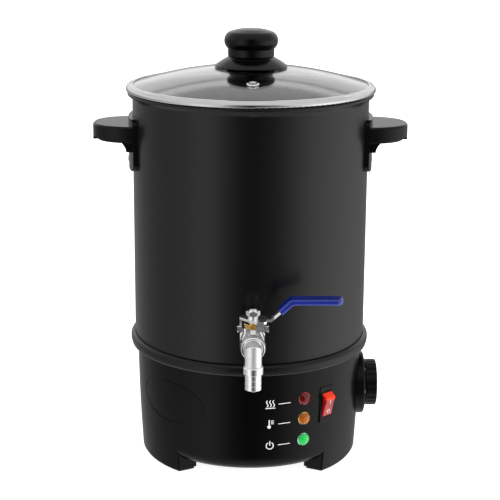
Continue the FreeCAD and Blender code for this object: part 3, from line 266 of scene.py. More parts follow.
def make_materials():
    D = MATS
    # satin black non-stick coat: fine speckle, faint cloudiness
    m = Mat("pot_coat")
    big = m.noise(7.0, 3.0)
    speck = m.voronoi(1500.0)
    fine = m.noise(2600.0, 2.0)
    c = m.mix(m.smooth(speck, 0.0, 0.35), (0.0036, 0.0036, 0.0038), (0.0020, 0.0020, 0.0021))
    c = m.mix(m.span(big, 0.3, 0.7, 0.0, 0.35), c, (0.0027, 0.0027, 0.0029))
    r = m.math("ADD", m.span(fine, 0.3, 0.7, 0.255, 0.30), m.span(big, 0.3, 0.7, -0.012, 0.012))
    m.set(Base_Color=c, Roughness=r, Normal=m.bump(m.math("ADD", fine, speck), 0.06, 0.00004))
    m.b.inputs["Specular IOR Level"].default_value = 0.33
    D["pot"] = m.m
    D["base"] = plastic("base_enamel", (0.0010, 0.0010, 0.0011), 0.23, 2400.0, 0.04, 0.135, 0.025, 0.03)
    D["bead"] = plastic("bead_plastic", (0.0016, 0.0016, 0.0017), 0.24, 2400.0, 0.05, 0.26, 0.03)
    D["lip"] = plastic("moulding_line", (0.012, 0.012, 0.0125), 0.12, 2400.0, 0.03, 1.0, 0.02)
    D["cover"] = plastic("cover_plastic", (0.02, 0.02, 0.02), 0.55, 900.0, 0.3)
    D["rubber"] = plastic("foot_rubber", (0.016, 0.016, 0.016), 0.72, 700.0, 0.5, 0.3)
    D["handle"] = plastic("handle_phenolic", (0.0018, 0.0018, 0.0019), 0.24, 1600.0, 0.06, 0.17, 0.04, 0.05)
    D["knob"] = plastic("knob_phenolic", (0.0016, 0.0016, 0.0017), 0.16, 1600.0, 0.05, 0.20, 0.03, 0.04)
    D["dial"] = plastic("dial_plastic", (0.0020, 0.0020, 0.0021), 0.28, 1500.0, 0.08, 0.16, 0.04)
    D["esc"] = plastic("escutcheon_plastic", (0.0020, 0.0020, 0.0021), 0.30, 1500.0, 0.08, 0.16, 0.04)
    D["nylon"] = plastic("nylon_black", (0.0040, 0.0040, 0.0042), 0.36, 1200.0, 0.10, 0.25)
    D["bezel"] = plastic("switch_bezel", (0.0014, 0.0014, 0.0015), 0.26, 1500.0, 0.06, 0.15, 0.03)
    D["chrome"] = metal("tap_nickel", (0.95, 0.95, 0.955), 0.06, 0.10, 1100.0, (0.90, 0.90, 0.91), 0.04, 0.02)
    D["satin"] = metal("spout_satin", (0.97, 0.97, 0.975), 0.46, 0.14, 700.0, (0.92, 0.92, 0.93), 0.10, 0.05)
    D["nickel"] = metal("valve_nickel", (0.98, 0.98, 0.985), 0.25, 0.30, 800.0, (0.92, 0.92, 0.93), 0.06, 0.04)
    D["lever"] = brushed("lever_zinc", (0.98, 0.98, 0.985), 0.28, (60.0, 2600.0, 2600.0))
    D["brass"] = metal("gland_brass", (0.74, 0.45, 0.13), 0.14, 0.05, 900.0, (0.56, 0.31, 0.08), 0.08)
    D["inner_steel"] = brushed("sheet_steel", (0.52, 0.52, 0.53), 0.34, (500.0, 40.0, 500.0))
    D["zinc"] = metal("zinc_plate", (0.66, 0.67, 0.68), 0.27, 0.05, 1500.0, (0.60, 0.60, 0.55), 0.10)
    D["alu"] = metal("cast_aluminium", (0.72, 0.72, 0.73), 0.42, 0.2, 700.0, (0.60, 0.60, 0.61), 0.5, 0.08)
    D["element"] = metal("element_sheath", (0.26, 0.24, 0.23), 0.42, 0.0, 900.0, (0.19, 0.15, 0.16), 0.3, 0.08)
    D["ball"] = metal("polished_ball", (0.86, 0.86, 0.87), 0.05, 0.0, 900.0)
    D["ptfe"] = plastic("ptfe", (0.82, 0.82, 0.80), 0.45, 700.0, 0.12)
    D["ceramic"] = plastic("terminal_ceramic", (0.72, 0.70, 0.66), 0.42, 500.0, 0.35)

    m = Mat("silicone_washer")
    f = m.noise(500.0, 2.0)
    m.set(Base_Color=m.mix(f, (0.72, 0.72, 0.69), (0.62, 0.62, 0.59)), Roughness=m.span(f, 0.3, 0.7, 0.38, 0.52), Normal=m.bump(f, 0.15, 0.00005))
    m.b.inputs["Subsurface Weight"].default_value = 0.3
    m.b.inputs["Subsurface Scale"].default_value = 0.002
    D["silicone"] = m.m

    # lid ring: polished stainless, lines running round the lid
    D["ring"] = turned("lid_ring_steel", (0.60, 0.60, 0.61), 0.07, "Z", 0.0, AXIS_Y, 2600.0, 0.1, 0.03)
    D["eyelet"] = turned("eyelet_steel", (0.80, 0.80, 0.81), 0.14, "Z", 0.0, AXIS_Y - 0.080, 4200.0, 0.2, 0.05)
    D["backnut"] = turned("backnut_steel", (0.70, 0.70, 0.71), 0.22, "Y", 0.0, 0.1555, 4200.0, 0.2)

    # tempered glass, very faint green and a few fine wipe marks in its gloss
    m = Mat("lid_glass_clear")
    w = m.noise(1.0, 3.0, 0.6, co=m.stretch(18.0, 26.0, 18.0))
    m.set(Base_Color=m.mix(m.span(w, 0.3, 0.7, 0.0, 1.0), (0.975, 0.985, 0.98), (0.965, 0.98, 0.972)), Roughness=m.span(w, 0.35, 0.7, 0.0, 0.03))
    m.b.inputs["Transmission Weight"].default_value = 1.0
    m.b.inputs["IOR"].default_value = 1.48
    D["glass"] = m.m

    # dipped vinyl sleeve: glossy, slightly lumpy
    m = Mat("grip_vinyl")
    lump = m.noise(90.0, 2.0)
    fine = m.noise(900.0, 2.0)
    m.set(Base_Color=m.mix(m.span(lump, 0.3, 0.7, 0.0, 1.0), (0.0025, 0.013, 0.20), (0.004, 0.020, 0.29)),
          Roughness=m.span(fine, 0.3, 0.7, 0.14, 0.20), Normal=m.bump(lump, 0.16, 0.0006, m.bump(fine, 0.05, 0.00004)))
    m.b.inputs["Coat Weight"].default_value = 0.5
    m.b.inputs["Coat Roughness"].default_value = 0.12
    D["vinyl"] = m.m

    # lamp lenses: tinted clear plastic over a faceted core
    for key, tint, deep, glow, power in (
            ("red", (0.62, 0.04, 0.04), (0.20, 0.006, 0.006), (1.0, 0.05, 0.03), 0.03),
            ("amber", (0.92, 0.54, 0.08), (0.46, 0.20, 0.008), (1.0, 0.45, 0.02), 0.09),
            ("green", (0.34, 0.95, 0.55), (0.03, 0.45, 0.14), (0.03, 0.80, 0.24), 0.40)):
        m = Mat("lens_" + key + "_clear")
        f = m.noise(700.0, 2.0)
        m.set(Base_Color=m.mix(m.span(f, 0.3, 0.7, 0.0, 1.0), tint, tuple(v * 0.94 for v in tint)), Roughness=m.span(f, 0.3, 0.7, 0.04, 0.10),
              Normal=m.bump(m.noise(190.0, 2.0), 0.05, 0.0003))
        m.b.inputs["Transmission Weight"].default_value = 1.0
        m.b.inputs["IOR"].default_value = 1.49
        D["lens_" + key] = m.m
        m = Mat("lens_" + key + "_core")
        f = m.noise(900.0, 2.0)
        c = m.mix(m.span(f, 0.3, 0.7, 0.0, 1.0), deep, tuple(min(1.0, v * 1.35) for v in deep))
        m.set(Base_Color=c, Roughness=m.span(f, 0.3, 0.7, 0.25, 0.40), Normal=m.bump(f, 0.1, 0.00005),
              Emission_Color=m.mix(m.span(f, 0.3, 0.7, 0.0, 1.0), glow, tuple(v * 0.85 for v in glow)))
        m.b.inputs["Emission Strength"].default_value = power
        D["core_" + key] = m.m

    # rocker: translucent red with painted light: a faint painted glow all over, a painted glow and painted highlight
    # brightest along its ridge, a painted pinkish highlight on the lower face, and a painted glow on its left side face
    m = Mat("rocker_red_painted_glow")
    x, y, z = m.xyz()
    y = m.math("SUBTRACT", y, AXIS_Y)
    out = m.math("SUBTRACT", m.math("MULTIPLY", x, math.sin(SW_AZ)), m.math("MULTIPLY", y, math.cos(SW_AZ)))
    dz = m.math("SUBTRACT", z, SW_Z)
    lump = m.noise(420.0, 2.0)
    side_u = m.math("ADD", m.math("MULTIPLY", x, math.cos(SW_AZ)), m.math("MULTIPLY", y, math.sin(SW_AZ)))
    o1 = m.math("SUBTRACT", out, SW_PIV)
    ca, sa = math.cos(TIP), math.sin(TIP)
    a1 = m.math("SUBTRACT", m.math("MULTIPLY", o1, ca), m.math("MULTIPLY", dz, sa))
    b1 = m.math("ADD", m.math("MULTIPLY", o1, sa), m.math("MULTIPLY", dz, ca))
    top = m.smooth(b1, 0.0096, 0.0108)                       # the slope above the ridge
    # painted glow and painted highlight along the ridge and over the slope above it, in colour and in emission
    ridge_painted_glow = m.math("MAXIMUM", m.math("MULTIPLY", m.smooth(b1, 0.0055, 0.0104), m.smooth(a1, 0.0015, 0.0068)), m.math("MULTIPLY", top, 0.75))
    # mask of the lower front face, where the painted pinkish highlight goes
    front = m.math("MULTIPLY", m.smooth(a1, 0.0060, 0.0067), m.smooth(b1, 0.0104, 0.0080))
    # painted glow on the left side face, stronger towards the bottom
    left_face_painted_glow = m.math("MULTIPLY", m.smooth(side_u, -0.0050, -0.0055), m.smooth(b1, 0.004, -0.009))
    c = m.mix(ridge_painted_glow, (0.26, 0.003, 0.002), (0.85, 0.035, 0.010))
    # painted highlight: the lower front face turned pinkish, stronger towards the bottom
    c = m.mix(m.math("MULTIPLY", front, m.math("MULTIPLY", m.span(lump, 0.3, 0.7, 0.75, 1.0), m.smooth(b1, 0.012, -0.010, 0.45, 0.95))), c, (0.40, 0.10, 0.095))
    # emission: a faint painted glow all over, stronger along the ridge and on the left side face
    e = m.mix(ridge_painted_glow, (0.22, 0.001, 0.001), (1.0, 0.050, 0.012))
    m.set(Base_Color=c, Roughness=m.span(lump, 0.3, 0.7, 0.22, 0.32), Normal=m.bump(lump, 0.06, 0.0001), Emission_Color=e,
          Emission_Strength=m.math("ADD", m.span(ridge_painted_glow, 0.0, 1.0, 0.20, 0.42), m.math("MULTIPLY", left_face_painted_glow, 1.1)))
    m.b.inputs["Specular IOR Level"].default_value = 0.25
    D["rocker"] = m.m

    D["wire"] = plastic("wire_sleeve", (0.42, 0.05, 0.035), 0.5, 900.0, 0.25)
    D["white_ink"] = plastic("white_ink", (0.80, 0.80, 0.79), 0.45, 3000.0, 0.1)


# control positions, from the CAD
TIP = math.radians(15.0)             # the rocker's tilt at rest
SW_AZ, SW_Z = math.radians(40.6), 0.0752
LAMP_AZ = math.radians(27.1)
LAMP_Z = {"red": 0.0862, "amber": 0.0650, "green": 0.0423}


def arc3(a, b, c):
    """Radius of the base wall by height: the circle through three (radius, height) points."""
    (x1, y1), (x2, y2), (x3, y3) = a, b, c
    d = 2 * (x1 * (y2 - y3) + x2 * (y3 - y1) + x3 * (y1 - y2))
    ux = ((x1 * x1 + y1 * y1) * (y2 - y3) + (x2 * x2 + y2 * y2) * (y3 - y1) + (x3 * x3 + y3 * y3) * (y1 - y2)) / d
    uy = ((x1 * x1 + y1 * y1) * (x3 - x2) + (x2 * x2 + y2 * y2) * (x1 - x3) + (x3 * x3 + y3 * y3) * (x2 - x1)) / d
    r = math.hypot(x1 - ux, y1 - uy)
    return lambda z: ux + math.sqrt(r * r - (z - uy) ** 2)


wall_r = arc3((114.7, 27.0), (116.35, 66.0), (117.2, 114.0))      # mm


def on_wall(phi, z, out=0.0):
    """A point at an azimuth and a height, that far from the pot's axis, in metres."""
    return Vector((out * math.sin(phi), AXIS_Y - out * math.cos(phi), z))


SW_PIV = max((v.co.x * math.sin(SW_AZ) - (v.co.y - AXIS_Y) * math.cos(SW_AZ)) for v in N["switch_housing"].data.vertices) - 0.003
make_materials()

ASSIGN = {
    "pot": "pot", "base_housing": "base", "collar_ring": "bead", "bottom_cover": "cover", "bottom_cover_screws": "zinc",
    "foot_pads": "rubber", "heater_plate": "alu", "heating_element": "element", "heater_clamp": "inner_steel",
    "bracket_spacers": "zinc", "bracket_bolts": "zinc", "heat_shield": "inner_steel", "thermal_cutoff": "inner_steel",
    "thermostat_body": "nylon", "thermostat_bracket": "zinc", "thermostat_screws": "zinc", "thermostat_sensor": "ball",
    "sensor_clip": "inner_steel", "thermostat_escutcheon": "esc", "thermostat_dial": "dial", "thermostat_shaft": "zinc",
    "lamp_red": "nylon", "lamp_amber": "nylon", "lamp_green": "nylon", "lamp_nuts": "nylon", "switch_housing": "bezel",
    "switch_rocker": "rocker", "switch_terminals": "brass", "power_inlet": "nylon", "inlet_pins": "brass",
    "inlet_screws": "zinc", "terminal_block": "ceramic", "terminal_screws": "brass", "wiring": "wire",
    "handle_left": "handle", "handle_right": "handle", "handle_screws": "zinc", "handle_nuts": "zinc",
    "valve_body": "nickel", "valve_end_cap": "chrome", "valve_seats": "ptfe", "valve_ball": "ball", "valve_stem": "nickel",
    "stem_packing": "ptfe", "gland_nut": "brass", "valve_washers": "silicone", "valve_back_nut": "backnut",
    "spout_elbow": "satin", "hose_barb": "chrome", "lever_arm": "lever", "lever_grip": "vinyl", "stem_nut": "nickel",
    "lid_glass": "glass", "lid_rim": "ring", "vent_eyelet": "eyelet", "lid_knob": "knob", "lid_knob_base": "knob",
    "lid_knob_washer": "nylon", "lid_knob_screw": "zinc",
}
for node, key in ASSIGN.items():
    o = N[node]
    o.data.materials.clear()
    o.data.materials.append(MATS[key])


# ------------------------------------------------------------------ mesh kit
def obj_from(name, bm, mat, body, smooth=True, replaces=(), slot=None, angle=40.0):
    me = bpy.data.meshes.new(name)
    bm.normal_update()
    bm.to_mesh(me)
    bm.free()
    o = bpy.data.objects.new(name, me)
    bpy.context.scene.collection.objects.link(o)
    me.materials.append(mat)
    if smooth:
        me.polygons.foreach_set("use_smooth", [True] * len(me.polygons))
        me.set_sharp_from_angle(angle=math.radians(angle))
    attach(o, body)
    if replaces:
        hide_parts(*replaces)
    return o


def revolve(name, prof, origin, axis, mat, body="root", seg=56, closed=False, wob=None, **kw):
    """A solid turned from (radius, distance along the axis) points, in metres; open profiles start and end on the axis."""
    axis = Vector(axis).normalized()
    u = axis.orthogonal().normalized()
    w = axis.cross(u)
    bm = bmesh.new()
    rings = []
    for i, (rho, a) in enumerate(prof):
        if rho < 1e-9:
            rings.append([bm.verts.new(Vector(origin) + axis * a)])
            continue
        ring = []
        for k in range(seg):
            t = 2 * math.pi * k / seg
            q = rho * (1.0 + (wob(i, t) if wob else 0.0))
            ring.append(bm.verts.new(Vector(origin) + axis * a + (u * math.cos(t) + w * math.sin(t)) * q))
        rings.append(ring)
    pairs = list(zip(rings, rings[1:])) + ([(rings[-1], rings[0])] if closed else [])
    for r0, r1 in pairs:
        for k in range(seg):
            j = (k + 1) % seg
            if len(r0) == 1:
                bm.faces.new((r0[0], r1[j], r1[k]))
            elif len(r1) == 1:
                bm.faces.new((r0[k], r0[j], r1[0]))
            else:
                bm.faces.new((r0[k], r0[j], r1[j], r1[k]))
    bmesh.ops.recalc_face_normals(bm, faces=bm.faces)
    return obj_from(name, bm, mat, body, **kw)


def stroke(bm, pts, width, place, low, high, closed=False, caps=5):
    """A raised line of even width along (u, v) points; place(u, v, h) puts it on a surface. All in metres."""
    h = width / 2
    n = len(pts)
    P = [Vector(q).to_2d() for q in pts]

    def side(sgn):
        out = []
        for i in range(n):
            a = P[(i - 1) % n] if closed or i else None
            c = P[(i + 1) % n] if closed or i < n - 1 else None
            d0 = (P[i] - a).normalized() if a is not None else (c - P[i]).normalized()
            d1 = (c - P[i]).normalized() if c is not None else d0
            m = (d0 + d1).normalized()
            k = min(1.0 / max(0.4, m.dot(d0)), 2.0)
            out.append(P[i] + Vector((-m.y, m.x)) * (sgn * h * k))
        return out

    if closed:
        L, R = side(1), side(-1)
        ring = [[bm.verts.new(place(q.x, q.y, z)) for q in loop] for loop, z in ((L, high), (R, high), (R, low), (L, low))]
        for a, b in zip(ring, ring[1:] + ring[:1]):
            for i in range(n):
                j = (i + 1) % n
                bm.faces.new((a[i], b[i], b[j], a[j]))
        return
    L, R = side(1), side(-1)
    d0, d1 = (P[1] - P[0]).normalized(), (P[-1] - P[-2]).normalized()
    l0, l1 = Vector((-d0.y, d0.x)), Vector((-d1.y, d1.x))
    ends = [P[-1] + (l1 * math.cos(math.pi * k / caps) + d1 * math.sin(math.pi * k / caps)) * h for k in range(1, caps)]
    start = [P[0] + (-l0 * math.cos(math.pi * k / caps) - d0 * math.sin(math.pi * k / caps)) * h for k in range(1, caps)]
    loop = L + ends + R[::-1] + start
    top = [bm.verts.new(place(q.x, q.y, high)) for q in loop]
    bot = [bm.verts.new(place(q.x, q.y, low)) for q in loop]
    m = len(ends)
    for v, flip in ((top, 1), (bot, -1)):
        right = v[n + m:2 * n + m][::-1]
        for i in range(n - 1):
            bm.faces.new((v[i], v[i + 1], right[i + 1], right[i])[::flip])
        bm.faces.new(([v[n - 1]] + v[n:n + m] + [right[n - 1]])[::flip])
        bm.faces.new(([right[0]] + v[2 * n + m:] + [v[0]])[::flip])
    for i in range(len(loop)):
        j = (i + 1) % len(loop)
        bm.faces.new((top[j], top[i], bot[i], bot[j]))


def finish_strokes(name, bm, mat, body, slot_name):
    bmesh.ops.recalc_face_normals(bm, faces=bm.faces)
    return obj_from(name, bm, mat, body, smooth=False, slot=slot_name)


# ------------------------------------------------------------------ lamps
for key, z in LAMP_Z.items():
    r = wall_r(z * 1000) * MM
    o = Vector((0.0, AXIS_Y, z))
    d = Vector((math.sin(LAMP_AZ), -math.cos(LAMP_AZ), 0.0))
    outer = [(0.0, 3.79), (1.0, 3.74), (2.0, 3.58), (3.0, 3.24), (3.9, 2.74), (4.7, 2.12), (5.4, 1.58), (6.0, 1.28), (6.42, 0.95), (6.6, 0.45), (6.6, -0.2)]
    inner = [(5.7, -0.2), (5.7, 0.30), (5.1, 0.75), (4.3, 1.35), (3.5, 1.95), (2.6, 2.40), (1.6, 2.66), (0.7, 2.76), (0.0, 2.78)]
    revolve("lamp_" + key + "_lens", [(a * MM, r + b * MM) for a, b in outer + inner], o, d, MATS["lens_" + key], "root", 64,
            replaces=("lamp_" + key,), slot="lens_" + key, angle=55.0)
    ridges = [(0.0, 2.35), (0.55, 2.05), (1.1, 2.30), (1.7, 1.85), (2.3, 2.05), (2.9, 1.45), (3.5, 1.55), (4.1, 0.80), (4.7, 0.72), (5.2, 0.15), (5.45, 0.10), (5.45, -0.2), (0.0, -0.2)]
    revolve("lamp_" + key + "_core", [(a * MM, r + b * MM) for a, b in ridges], o, d, MATS["core_" + key], "root", 24,
            wob=lambda i, t: 0.035 * math.cos(12 * t) if 0 < i < 9 else 0.0, replaces=("lamp_" + key,), slot="lens_" + key, angle=20.0)
    thread = [(0.0, -12.0), (3.2, -12.0), (3.4, -11.8), (3.4, -9.0), (4.6, -9.0)]
    a = -8.8
    while a < -1.0:
        thread += [(4.62, a), (4.95, a + 0.35), (4.62, a + 0.7)]
        a += 0.7
    thread += [(4.95, -0.6), (4.95, -0.22), (0.0, -0.22)]
    revolve("lamp_" + key + "_barrel", [(q * MM, r + b * MM) for q, b in thread], o, d, MATS["nylon"], "root", 40,
            replaces=("lamp_" + key,), slot="nylon_black", angle=35.0)


# moulding line round the lower edge of the bead: a fine glossy lip that catches the light
revolve("collar_moulding_line", [((123.22 + 0.42 * math.cos(2 * math.pi * k / 10)) * MM, (117.20 + 0.42 * math.sin(2 * math.pi * k / 10)) * MM) for k in range(10)],
        (0.0, AXIS_Y, 0.0), (0.0, 0.0, 1.0), MATS["lip"], "root", 240, closed=True, slot="bead_black", angle=60.0)

# ------------------------------------------------------- marks beside the lamps
def wall_place(phi0, z0):
    def place(u, v, h):
        z = z0 + v
        r = wall_r(z * 1000) * MM + h
        return on_wall(phi0 + u / (wall_r(z0 * 1000) * MM), z, r)
    return place


def mm(pts):
    return [(a * MM, b * MM) for a, b in pts]


def arc(cx, cy, r, a0, a1, n):
    return [(cx + r * math.cos(math.radians(a0 + (a1 - a0) * i / n)), cy + r * math.sin(math.radians(a0 + (a1 - a0) * i / n))) for i in range(n + 1)]


ICON = math.radians(9.2)
LO, HI = -0.00010, 0.00013
for key, z in LAMP_Z.items():
    z0 = z - 0.0020
    place = wall_place(ICON, z0)
    bm = bmesh.new()
    if key == "red":                                   # heat rising from a plate
        stroke(bm, mm([(-4.6, -3.9), (4.6, -3.9)]), 1.0 * MM, place, LO, HI)
        for cx in (-3.2, 0.0, 3.2):
            stroke(bm, mm([(cx + 0.85 * math.sin(math.pi * 2 * t / 16), -2.2 + 6.4 * t / 16) for t in range(17)]), 0.95 * MM, place, LO, HI)
    elif key == "amber":                               # thermometer
        stroke(bm, mm(arc(-1.0, -2.6, 1.35, 0, 337.5, 15)), 0.9 * MM, place, LO, HI, closed=True)
        stroke(bm, mm(arc(-1.0, -2.6, 0.45, 0, 315, 7)), 0.9 * MM, place, LO, HI, closed=True)
        stroke(bm, mm([(-1.0, -1.2), (-1.0, 4.3)]), 1.15 * MM, place, LO, HI)
        for v in (0.6, 2.2, 3.8):
            stroke(bm, mm([(1.1, v), (3.3, v)]), 0.8 * MM, place, LO, HI)
    else:                                              # standby: open circle and bar
        stroke(bm, mm(arc(0.0, -0.3, 3.6, 125, 415, 28)), 1.0 * MM, place, LO, HI)
        stroke(bm, mm([(0.0, 0.2), (0.0, 4.4)]), 1.0 * MM, place, LO, HI)
    finish_strokes("mark_" + key, bm, MATS["white_ink"], "root", "dial_marks")
    bm = bmesh.new()
    stroke(bm, mm([(8.6 + 1.2 * i, 0.3 * i / 10.0) for i in range(11)]), 0.75 * MM, place, LO, HI)
    finish_strokes("leader_" + key, bm, MATS["white_ink"], "root", "dial_marks")

# marks on the rocker's two faces, moving with it


def rocker_place(face):
    """Plane of the rocker's upper (+1) or lower (-1) face; u across, v along the face from its middle."""
    a0, b0, a1, b1 = 6.8, 0.0, 7.4, 10.6 * face
    am, bm_ = (a0 + a1) / 2, (b0 + b1) / 2
    ln = math.hypot(a1 - a0, b1 - b0)
    ta, tb = (a1 - a0) / ln * face, (b1 - b0) / ln * face
    na, nb = (tb, -ta)

    def place(u, v, h):
        a = am * MM + ta * v + na * h
        b = bm_ * MM + tb * v + nb * h
        out = SW_PIV + a * math.cos(TIP) + b * math.sin(TIP)
        up = SW_Z + b * math.cos(TIP) - a * math.sin(TIP)
        return Vector((u * math.cos(SW_AZ) + out * math.sin(SW_AZ), AXIS_Y + u * math.sin(SW_AZ) - out * math.cos(SW_AZ), up))
    return place


bm = bmesh.new()
stroke(bm, mm([(0.0, -1.9), (0.0, 1.9)]), 0.8 * MM, rocker_place(1), -0.0001, 0.00012)
finish_strokes("rocker_mark_on", bm, MATS["white_ink"], "rocker", "dial_marks")
bm = bmesh.new()
stroke(bm, mm(arc(0.0, 0.0, 1.7, 0, 345, 23)), 0.7 * MM, rocker_place(-1), -0.0001, 0.00012, closed=True)
finish_strokes("rocker_mark_off", bm, MATS["white_ink"], "rocker", "dial_marks")

# ------------------------------------------------- dial scale and pointer line
ESC_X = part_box("thermostat_escutcheon")[1].x
DIAL_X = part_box("thermostat_dial")[1].x
DZ = 0.066


def side_place(x0):
    """A plane facing +x, centred on the dial; u to the right as seen from that side, v up."""
    def place(u, v, h):
        return Vector((x0 + h, AXIS_Y + u, DZ + v))
    return place


bm = bmesh.new()
for i in range(19):
    t = math.radians(225.0 - 15.0 * i)
    r0, r1 = (25.6, 27.2) if i % 3 else (25.6, 27.8)
    stroke(bm, mm([(r0 * math.cos(t), r0 * math.sin(t)), (r1 * math.cos(t), r1 * math.sin(t))]), (0.5 if i % 3 else 0.75) * MM, side_place(ESC_X), -0.0001, 0.00012, caps=3)
finish_strokes("dial_scale_ticks", bm, MATS["white_ink"], "root", "dial_marks")
SEGS = {"0": "abcdef", "1": "bc", "2": "abged", "3": "abgcd", "4": "fgbc", "5": "afgcd", "6": "afgedc", "7": "abc", "8": "abcdefg", "9": "gfabcd"}


def glyph(ch, cx, cy, h):
    """A digit as (u, v) polylines, with rounded corners, height h."""
    w = h * 0.28
    k = h / 2
    shapes = {
        "0": [arc(cx, cy + k - w, w, 0, 180, 8) + arc(cx, cy - k + w, w, 180, 360, 8) + [(cx + w, cy + k - w)]],
        "1": [[(cx - w * 0.8, cy + k * 0.55), (cx + w * 0.1, cy + k), (cx + w * 0.1, cy - k)]],
        "2": [arc(cx, cy + k - w, w, 165, -30, 8) + [(cx - w, cy - k), (cx + w, cy - k)]],
        "3": [arc(cx - w * 0.1, cy + k * 0.5, k * 0.5, 150, -90, 8) + arc(cx - w * 0.1, cy - k * 0.5, k * 0.5, 90, -150, 8)],
        "4": [[(cx + w * 0.5, cy - k), (cx + w * 0.5, cy + k), (cx - w, cy - k * 0.35), (cx + w * 1.1, cy - k * 0.35)]],
        "5": [[(cx + w, cy + k), (cx - w * 0.8, cy + k), (cx - w * 0.9, cy + k * 0.12)] + arc(cx - w * 0.1, cy - k * 0.42, k * 0.58, 115, -140, 9)],
        "6": [[(cx + w * 0.8, cy + k)] + arc(cx, cy - k + w, w, 180, 180 + 360, 14) + [(cx - w, cy - k + w * 1.4)]],
        "7": [[(cx - w, cy + k), (cx + w, cy + k), (cx - w * 0.3, cy - k)]],
        "8": [arc(cx, cy + k * 0.5, k * 0.5, -90, 270, 12) + arc(cx, cy - k * 0.5, k * 0.5, 90, -270, 12)],
        "9": [arc(cx, cy + k - w, w, 0, 360, 14) + [(cx - w * 0.6, cy - k)]],
    }
    return shapes[ch]


for i, label in enumerate(("0", "20", "40", "60", "80", "100", "120")):
    t = math.radians(225.0 - 45.0 * i)
    cx, cy = 30.1 * math.cos(t), 30.1 * math.sin(t)
    bm = bmesh.new()
    step = 1.9
    for k, ch in enumerate(label):
        for line in glyph(ch, cx + (k - (len(label) - 1) / 2) * step, cy, 2.7):
            stroke(bm, mm(line), 0.42 * MM, side_place(ESC_X), -0.0001, 0.00012, caps=3)
    finish_strokes("dial_number_" + label, bm, MATS["white_ink"], "root", "dial_marks")
bm = bmesh.new()
stroke(bm, mm([(0.0, 11.0), (0.0, 20.0)]), 1.3 * MM, side_place(DIAL_X), -0.0001, 0.00012)
finish_strokes("dial_pointer_line", bm, MATS["white_ink"], "dial", "dial_marks")


# ------------------------------------------------------------- world and light
sc = bpy.context.scene
world = bpy.data.worlds.new("studio")
sc.world = world
world.use_nodes = True
wt = world.node_tree
wt.nodes.clear()
wo = wt.nodes.new("ShaderNodeOutputWorld")
bg = wt.nodes.new("ShaderNodeBackground")
bg_cam = wt.nodes.new("ShaderNodeBackground")
bg_cam.inputs[0].default_value = (1.0, 1.0, 1.0, 1.0)
bg_cam.inputs[1].default_value = 1.0
tc = wt.nodes.new("ShaderNodeTexCoord")
sep = wt.nodes.new("ShaderNodeSeparateXYZ")
wt.links.new(tc.outputs["Generated"], sep.inputs[0])


def wmath(op, a, b=0.0, clamp=False):
    n = wt.nodes.new("ShaderNodeMath")
    n.operation = op
    n.use_clamp = clamp
    for i, v in enumerate((a, b)):
        if isinstance(v, bpy.types.NodeSocket):
            wt.links.new(v, n.inputs[i])
        else:
            n.inputs[i].default_value = v
    return n.outputs[0]


def wramp(fac, bands):
    """Brightness by azimuth, degrees from the front, + to the right. A ramp holds 0 to 1, so it is kept at a quarter and multiplied up."""
    r = wt.nodes.new("ShaderNodeValToRGB")
    wt.links.new(fac, r.inputs[0])
    r.color_ramp.interpolation = "B_SPLINE"
    els = r.color_ramp.elements
    while len(els) > 1:
        els.remove(els[-1])
    els[0].position = (bands[0][0] + 180.0) / 360.0
    els[0].color = (bands[0][1] / 4.0,) * 3 + (1.0,)
    for a, v in bands[1:]:
        e = els.new((a + 180.0) / 360.0)
        e.color = (v / 4.0, v / 4.0, v / 4.0, 1.0)
    return wmath("MULTIPLY", r.outputs[0], 4.0)


def wmix(f, a, b):
    n = wt.nodes.new("ShaderNodeMix")
    n.data_type = "RGBA"
    wt.links.new(f, n.inputs["Factor"])
    for k, v in ((6, a), (7, b)):
        if isinstance(v, bpy.types.NodeSocket):
            wt.links.new(v, n.inputs[k])
        else:
            n.inputs[k].default_value = (v, v, v, 1.0)
    return n.outputs[2]


def wstep(v, lo, hi):
    n = wt.nodes.new("ShaderNodeMapRange")
    n.interpolation_type = "SMOOTHSTEP"
    wt.links.new(v, n.inputs["Value"])
    n.inputs["From Min"].default_value = lo
    n.inputs["From Max"].default_value = hi
    return n.outputs["Result"]


az = wmath("ARCTAN2", sep.outputs[0], wmath("MULTIPLY", sep.outputs[1], -1.0))     # 0 towards the front, + to the right
fac = wmath("ADD", wmath("MULTIPLY", az, 1.0 / (2.0 * math.pi)), 0.5)
# softboxes left and right of a dark gap in front, seen below the horizon
LOW = [(-180, 0.42), (-154, 0.42), (-135, 0.42), (-121, 0.44), (-100, 0.48), (-84, 0.56), (-62, 0.86), (-46, 1.24), (-38, 1.12), (-30, 0.78),
       (-23, 0.48), (-15, 0.22), (-6, 0.09), (0, 0.03), (6, 0.10), (16, 0.22), (26, 0.32), (34, 0.56), (48, 1.15), (62, 1.58), (76, 1.70),
       (92, 1.55), (110, 1.15), (121, 0.82), (135, 0.52), (154, 0.27), (180, 0.34)]
# the bright room above the horizon; behind, a bright wall with a dark joint below the ceiling
HIGH = [(-180, 1.0), (-120, 0.90), (-90, 0.85), (-40, 0.95), (-12, 0.80), (12, 0.80), (40, 0.95), (90, 1.05), (140, 1.0), (180, 1.0)]
BACK = [(-180, 1.0), (-122, 1.0), (-84, 0.0), (0, 0.0), (84, 0.0), (122, 1.0), (180, 1.0)]
CEIL = [(0.0, 0.95), (0.06, 0.97), (0.20, 1.00), (0.36, 1.02), (0.395, 1.00), (0.418, 0.72), (0.434, 0.70), (0.452, 1.36), (0.500, 1.30), (0.530, 0.82), (0.75, 0.85), (1.0, 0.92)]
rise = wt.nodes.new("ShaderNodeValToRGB")
wt.links.new(sep.outputs[2], rise.inputs[0])
rise.color_ramp.interpolation = "LINEAR"
rise.color_ramp.elements.remove(rise.color_ramp.elements[-1])
rise.color_ramp.elements[0].position = CEIL[0][0]
